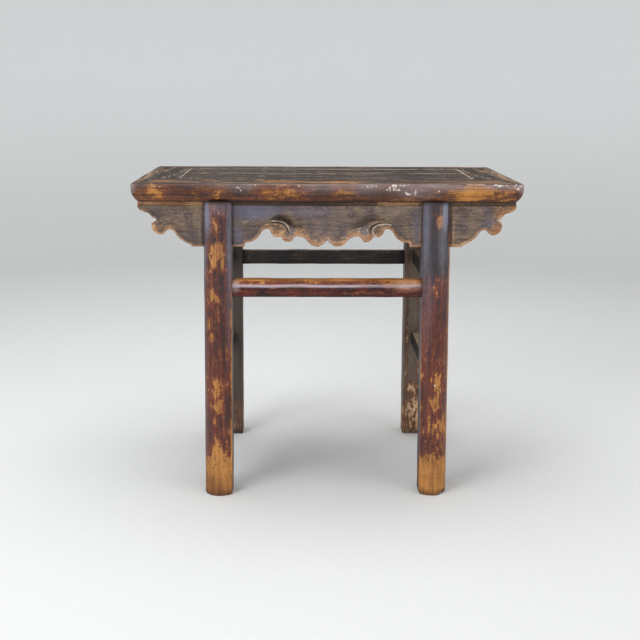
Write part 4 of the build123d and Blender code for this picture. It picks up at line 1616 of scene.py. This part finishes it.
# ---------------------------------------------------------------- stretchers
@dataclass
class Stretcher:
    """A bar between two legs, rounded outside, worn pale along its top."""

    node: str
    leg: Leg
    seed: int
    along_x: bool = False
    finish: WornLacquer = SHADED_LACQUER
    outer_round: float = 14.0
    under_round: float = 14.0
    inner_round: float = 3.0
    lowered: float = 0.0
    embed: float = 3.0
    station_step: float = 4.0
    dressing: float = 0.3
    hollowed: float = 0.5
    # Depth under the top of the painted highlight line along the arris.
    highlight_drop: float = 15.5
    front_wear: float = 0.2
    round_wear: float = 0.2
    front_red: float = 0.3
    # Painted shade on the inner face.
    inner_shade: float = 0.85
    top_wear: float = 0.7
    # Strength of the painted highlight along the arris, and how far it fades towards the right end.
    crest_highlight: float = 0.9
    highlight_fade: float = 0.0
    rubs: Rubs = Rubs((196, 21, 34, 5, 0.9), (-190, 21, 20, 4, 0.5))
    # Patches of pale film on the arris; on the front bar, painted highlight.
    haze_and_sheen_rubs: Rubs = Rubs()

    def _section(self, wide: float, tall: float) -> Array:
        """Section about its axis: four quarter circles, each with the flat that follows it.

        It starts at the outer arris, crosses the top, and comes back along the underside.

        Args:
            wide: Half the section's width.
            tall: Half its height.

        Returns:
            The points, as distances out and up.
        """
        big, small, under = self.outer_round, self.inner_round, self.under_round
        arcs = (
            (wide - big, tall - big, big, 10), (small - wide, tall - small, small, 5),
            (small - wide, small - tall, small, 5), (wide - under, under - tall, under, 10),
        )
        flats = np.array([
            [[wide - big, tall], [small - wide, tall]], [[-wide, tall - small], [-wide, small - tall]],
            [[small - wide, -tall], [wide - big, -tall]], [[wide, under - tall], [wide, tall - big]],
        ])
        along = np.linspace(0.1, 0.9, 6)[:, None]
        loop = []
        for turn, ((out, up, radius, steps), (start, end)) in enumerate(zip(arcs, flats)):
            angle = QUARTER * np.linspace(1.0 - turn, -turn, steps)
            loop.append(grid_of(out + radius * np.sin(angle), up + radius * np.cos(angle)))
            loop.append(start + along * (end - start))
        return np.concatenate(loop)

    def skin(self) -> Skin:
        """Its section carried from leg to leg; it ends a little inside their faces.

        Returns:
            The skin.
        """
        low, high = node_box(self.node)
        low[2] -= self.lowered
        cross = int(self.along_x)
        wide, tall = ((high - low) / 2.0)[[cross, 2]]
        centre, middle = ((high + low) / 2.0)[[cross, 2]]
        limit = self.leg.axis_at(middle)[1 - cross] - self.leg.side / 2.0 + self.embed
        run = np.linspace(-limit, limit, int(2.0 * limit / self.station_step))[:, None]
        run, out, up = np.broadcast_arrays(run, *self._section(wide, tall).T)
        dressed = self.dressing * (1.0 + ripple(run * 0.5, out + up, self.seed, 40.0))
        sunk = self.hollowed * (1.0 + ripple(run, run * 0.0, self.seed + 1, 120.0))
        sunk = sunk * smooth(up, 6.0, 20.0)
        across = centre + np.sign(centre) * out * (1.0 - dressed / wide)
        level = middle + up * (1.0 - dressed / tall) - sunk
        points = grid_of(run, across, level) if self.along_x else grid_of(across, run, level)
        return carried(points, run, self._marks(run, out, up, wide, tall, limit))

    def _marks(
        self, run: Array, out: Array, up: Array, wide: float, tall: float, limit: float
    ) -> Array:
        """Bare wood on top, a painted highlight along the rounded arris, dark lacquer on the front,
        darker ends and underside, and painted shade on the inner face.

        Args:
            run: Distance along the bar from its middle.
            out: Distance outwards from its axis.
            up: Height over its axis.
            wide: Half the section's width.
            tall: Half its height.
            limit: Half the bar's length.

        Returns:
            The point marks.
        """
        top = smooth(up, tall - 4.0, tall - 0.5) * fall(out, 11.0, 17.0)
        # A painted highlight line along the rounded arris, a little below the top, fading along the bar.
        line = tall - self.highlight_drop + 0.9 * ripple(run, run * 0.0, self.seed + 4, 130.0)
        crest = bump(up, line, 2.8) * smooth(out, wide - 12.0, wide - 4.0)
        wear = self.front_wear + (self.round_wear - self.front_wear) * smooth(up, 5.0, 12.0)
        wear = wear + 0.1 * ripple(run, up * 3.0, self.seed + 2, 90.0) + self.top_wear * top
        red = self.front_red + 0.2 * ripple(run, up, self.seed + 3, 70.0)
        fading = 1.0 - self.highlight_fade * smooth(run, 20.0, 200.0)
        # Darker towards the ends and along the underside.
        grime = 0.35 * smooth(np.abs(run), limit - 22.0, limit - 2.0)
        grime = grime + 0.5 * smooth(-up, tall - 8.0, tall)
        return marks_of(
            run.shape,
            wear=wear - 0.1 * crest + self.rubs.at(run, up),
            red=red + 0.35 * smooth(up, 4.0, tall),
            bloom=self.crest_highlight * crest * fading + self.haze_and_sheen_rubs.at(run, up),
            # Painted shade on the inner face.
            grime=grime + self.inner_shade * smooth(-out, wide - 3.0, wide),
        )

    def build(self) -> None:
        """Make the bar."""
        piece(self.node, "worn", self.skin(), self.finish.material())


# ---------------------------------------------------------------- studio
@dataclass
class Studio:
    """Plain pale floor and cove, soft lamps, and the camera at a standing eye's height."""

    focal_share: float = 1022.77 / 640.0
    eye: Triple = (-0.06204, -2.92702, 1.11361)
    pitch: float = 0.22973
    yaw: float = 0.01644
    roll: float = 0.00494
    sensor: float = 36.0
    floor_radius: float = 3.6
    cove_radius: float = 1.4
    wall_height: float = 2.9
    floor_paints: tuple[Triple, Triple] = ((0.76, 0.76, 0.745), (0.81, 0.81, 0.795))
    wall_paint: Triple = (0.9, 0.9, 0.9)
    floor_rough: float = 0.85
    floor_relief: float = 0.0004
    sky: Triple = (0.93, 0.96, 1.0)
    sky_strength: float = 0.38

    def camera(self) -> None:
        """Place the camera by its pitch, yaw and roll."""
        data = bpy.data.cameras.new("camera")
        data.sensor_width = self.sensor
        data.lens = self.focal_share * self.sensor
        made = linked("camera", data)
        sin_p, cos_p = math.sin(self.pitch), math.cos(self.pitch)
        sin_y, cos_y = math.sin(self.yaw), math.cos(self.yaw)
        forward = Vector((sin_y * cos_p, cos_y * cos_p, -sin_p))
        level_right = Vector((cos_y, -sin_y, 0.0))
        level_up = Vector((sin_y * sin_p, cos_y * sin_p, cos_p))
        right = math.cos(self.roll) * level_right + math.sin(self.roll) * level_up
        up = -math.sin(self.roll) * level_right + math.cos(self.roll) * level_up
        turned = Matrix((right, up, -forward)).transposed().to_4x4()
        made.matrix_world = Matrix.Translation(Vector(self.eye)) @ turned
        bpy.context.scene.camera = made

    def floor(self) -> None:
        """A round floor that turns up into a wall: a profile turned about the vertical axis.

        The profile runs out along the floor, up a quarter circle and up the wall.
        """
        turn = np.linspace(0.0, QUARTER, 14)
        wall = self.floor_radius + self.cove_radius
        out = np.concatenate([
            [0.6, 2.4], self.floor_radius + self.cove_radius * np.sin(turn), [wall]
        ])[:, None]
        up = np.concatenate([
            [0.0, 0.0], self.cove_radius * (1.0 - np.cos(turn)), [self.wall_height]
        ])[:, None]
        around = np.linspace(0.0, math.tau, 97)[:-1]
        grid = grid_of(np.cos(around) * out, np.sin(around) * out, up)
        rings, count = grid.shape[:2]
        row = np.arange(rings - 1)[:, None] * count
        here = np.arange(count)
        following = (here + 1) % count
        faces = grid_of(row + here, row + count + here, row + count + following, row + following)
        mesh = bpy.data.meshes.new("floor")
        faces = [*faces.reshape(-1, 4).tolist(), list(range(count))]
        mesh.from_pydata(grid.reshape(-1, 3).tolist(), [], faces)
        mesh.polygons.foreach_set("use_smooth", np.ones(len(faces), bool))
        kit = ShaderKit("floor_paint")
        speck = kit.noise(kit.place(), 60.0, 4.0)
        paint = kit.mix(speck, *self.floor_paints)
        rising = kit.node("ShaderNodeSeparateXYZ", {}, {0: kit.place()}, 2).step(0.0, 1.2)
        colour = kit.mix(rising, paint, self.wall_paint)
        mesh.materials.append(kit.finish(colour, self.floor_rough, speck, self.floor_relief))
        linked("floor", mesh)

    def lamp(
        self, name: str, power: float, size: float, place: Triple, height: float, colour: Triple
    ) -> None:
        """One square soft lamp pointed at the table's middle.

        Args:
            name: Its name.
            power: Its power in watts.
            size: Its side in metres.
            place: Where it hangs, in metres.
            height: Height of the point it is aimed at, in metres.
            colour: Its colour.
        """
        data = bpy.data.lights.new(name, "AREA")
        data.energy = power
        data.size = size
        data.color = colour
        made = linked(name, data)
        made.location = place
        made.rotation_mode = "QUATERNION"
        aim = Vector((0.0, 0.0, height)) - Vector(place)
        made.rotation_quaternion = aim.to_track_quat("-Z", "Y")

    def lights(self) -> None:
        """A wide overhead lamp, a key from the front left, a fill and a pale world."""
        self.lamp("overhead", 80.0, 3.2, (-0.2, 0.1, 3.4), 0.6, (0.98, 0.99, 1.0))
        self.lamp("key", 58.0, 1.8, (-2.3, -2.6, 2.6), 0.5, (0.96, 0.98, 1.0))
        self.lamp("fill", 20.0, 2.4, (2.6, -2.2, 1.6), 0.5, (1.0, 0.98, 0.95))
        world = bpy.data.worlds.new("sky")
        world.use_nodes = True
        background = world.node_tree.nodes["Background"]
        background.inputs["Color"].default_value = (*self.sky, 1.0)
        background.inputs["Strength"].default_value = self.sky_strength
        bpy.context.scene.world = world
        bpy.context.scene.view_settings.view_transform = "Standard"

    def build(self) -> None:
        """Set up the whole studio."""
        self.camera()
        self.floor()
        self.lights()


# ---------------------------------------------------------------- the table
class AltarTable:
    """The whole table, built from its parts."""

    def build(self) -> None:
        """Build every sub-assembly in order."""
        TableTop().build()
        legs = self.legs()
        for leg in legs:
            leg.build()
        for node in ("front_apron", "rear_apron"):
            Apron(node).build()
        for stretcher in self.stretchers(legs[0]):
            stretcher.build()
        self.finish_battens()

    def legs(self) -> tuple[Leg, ...]:
        """The four legs, each with its own wear.

        Returns:
            The front left, front right, rear left and rear right ones.
        """
        return (
            Leg(
                "front_left_leg",
                rubs=Rubs(
                    (736, -4.5, 20, 10, 0.27), (681, 3, 18, 18, 0.66), (649, -9, 18, 7.5, 0.58),
                    (646, 14, 20, 6, 0.5), (562, -12.6, 20, 8, 0.5), (547, 0, 8, 8, 0.52),
                    (504, 0, 25, 5, 0.5), (479, -21, 19, 6, 0.42), (441, -16, 18, 7, 0.52),
                    (306, -2, 28, 12, 0.5), (253, 4, 20, 9, 0.58), (214, -9, 12, 5, 0.42),
                    (404, 24, 14, 3, 0.35), (380, 0, 60, 20, 0.08), (600, -18, 60, 10, 0.14),
                ),
                flank_rubs=strewn(3, 8, 25), seed=11,
                sheen=Rubs(
                    (772, -32, 44, 11, 1.1), (690, -35, 70, 6, 0.4), (700, 33, 130, 6, 0.5),
                    (520, 30, 90, 5, 0.2), (790, 0, 14, 30, 0.3),
                ),
                head_bloom_and_sheen=0.05, arris_wear=0.7, foot_wear=102.0, foot_arch=66.0, head_red=0.34,
            ),
            Leg(
                "front_right_leg",
                rubs=Rubs(
                    (758, 8, 15, 9, 0.95), (565, -1, 7, 3, 0.2), (317, 6, 26, 11, 0.5),
                    (267, 1.5, 20, 13, 0.5), (327, -11, 12, 3, 0.4), (388, 20, 24, 5, 0.3),
                    (180, 24, 60, 8, 0.38), (160, 0, 50, 26, 0.3),
                ),
                flank_rubs=strewn(5, 8, 25), seed=23,
                sheen=Rubs(
                    (772, 21, 34, 6, 1.5), (700, 15, 60, 10, 0.4), (560, -24, 120, 12, 0.16),
                    (720, -30, 90, 8, 0.45),
                ),
                flecked=Rubs(
                    (317, -2, 26, 6, 0.6), (28, 30, 12, 8, 0.5), (731, -10, 5, 4, 0.6),
                    (719, -9, 4, 3, 0.5),
                ),
                foot_arch=8.0, head_red=0.05, head_wear=0.06, arris_wear=0.15, foot_chip=9.0,
                outer_line=1.0, head_bloom_and_sheen=0.10,
            ),
            Leg(
                "rear_left_leg", rubs=strewn(4, 9, 30), flank_rubs=strewn(6, 9, 25), seed=37,
                finish=REAR_LACQUER, inner_shade=0.2, inner_dust=0.85,
            ),
            Leg(
                "rear_right_leg", rubs=strewn(9, 9, 30), flank_rubs=strewn(12, 9, 25), seed=41,
                finish=DUSTY_LACQUER, inner_shade=0.0, inner_dust=0.9,
                inner_rubs=Rubs(
                    (156, -10, 16, 18, 0.95), (60, 0, 64, 27, 0.7), (330, -28, 300, 4, 0.5),
                    (470, 8, 40, 8, 0.35), (210, 10, 30, 8, 0.4),
                ),
            ),
        )

    def stretchers(self, leg: Leg) -> list[Stretcher]:
        """The six bars, as long as the splay of the legs leaves at their levels.

        Args:
            leg: Any leg; the four splay alike.

        Returns:
            The front, rear, left and right ones.
        """
        front = Stretcher(
            "front_stretcher", leg, 50, along_x=True, finish=STRETCHER_LACQUER,
            rubs=Rubs(
                (-140, 6, 14, 5, 0.4), (209, 9, 34, 11, 0.7), (-245, 8, 12, 16, 0.3),
                (60, -12, 60, 5, 0.2),
            ),
            # Patches of painted highlight on the arris, and a strong painted highlight line that fades
            # towards the right end.
            haze_and_sheen_rubs=Rubs((215, 8, 30, 10, 0.3), (-246, 8, 10, 12, 0.6)),
            under_round=4.0, lowered=4.0, front_wear=0.04, round_wear=0.38, front_red=0.55,
            crest_highlight=1.55, highlight_fade=0.5,
        )
        # The rear and side bars take the greyer shaded lacquer as painted shade; the rear one has a weak
        # painted highlight and lighter painted shade on its inner face.
        rear = Stretcher(
            "rear_stretcher", leg, 60, along_x=True, rubs=Rubs(), top_wear=0.15, crest_highlight=0.3,
            inner_shade=0.3,
        )
        places = ("left_upper", "left_lower", "right_upper", "right_lower")
        sides = (
            Stretcher(f"{place}_stretcher", leg, 70 + 10 * number)
            for number, place in enumerate(places)
        )
        return [front, rear, *sides]

    def finish_battens(self) -> None:
        """Give the battens, whose solids are true to the real ones, their own wood."""
        wood = PlainWood("batten_wood").material()
        for name in ("left_batten", "middle_batten", "right_batten"):
            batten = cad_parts[name]
            batten.data.materials.clear()
            batten.data.materials.append(wood)
            log.info("%s: kept as packed", name)


def main() -> None:
    """Build the table and its studio."""
    logging.basicConfig(level=logging.INFO, format="%(message)s")
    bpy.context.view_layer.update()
    AltarTable().build()
    Studio().build()


if __name__ == "__main__":
    main()
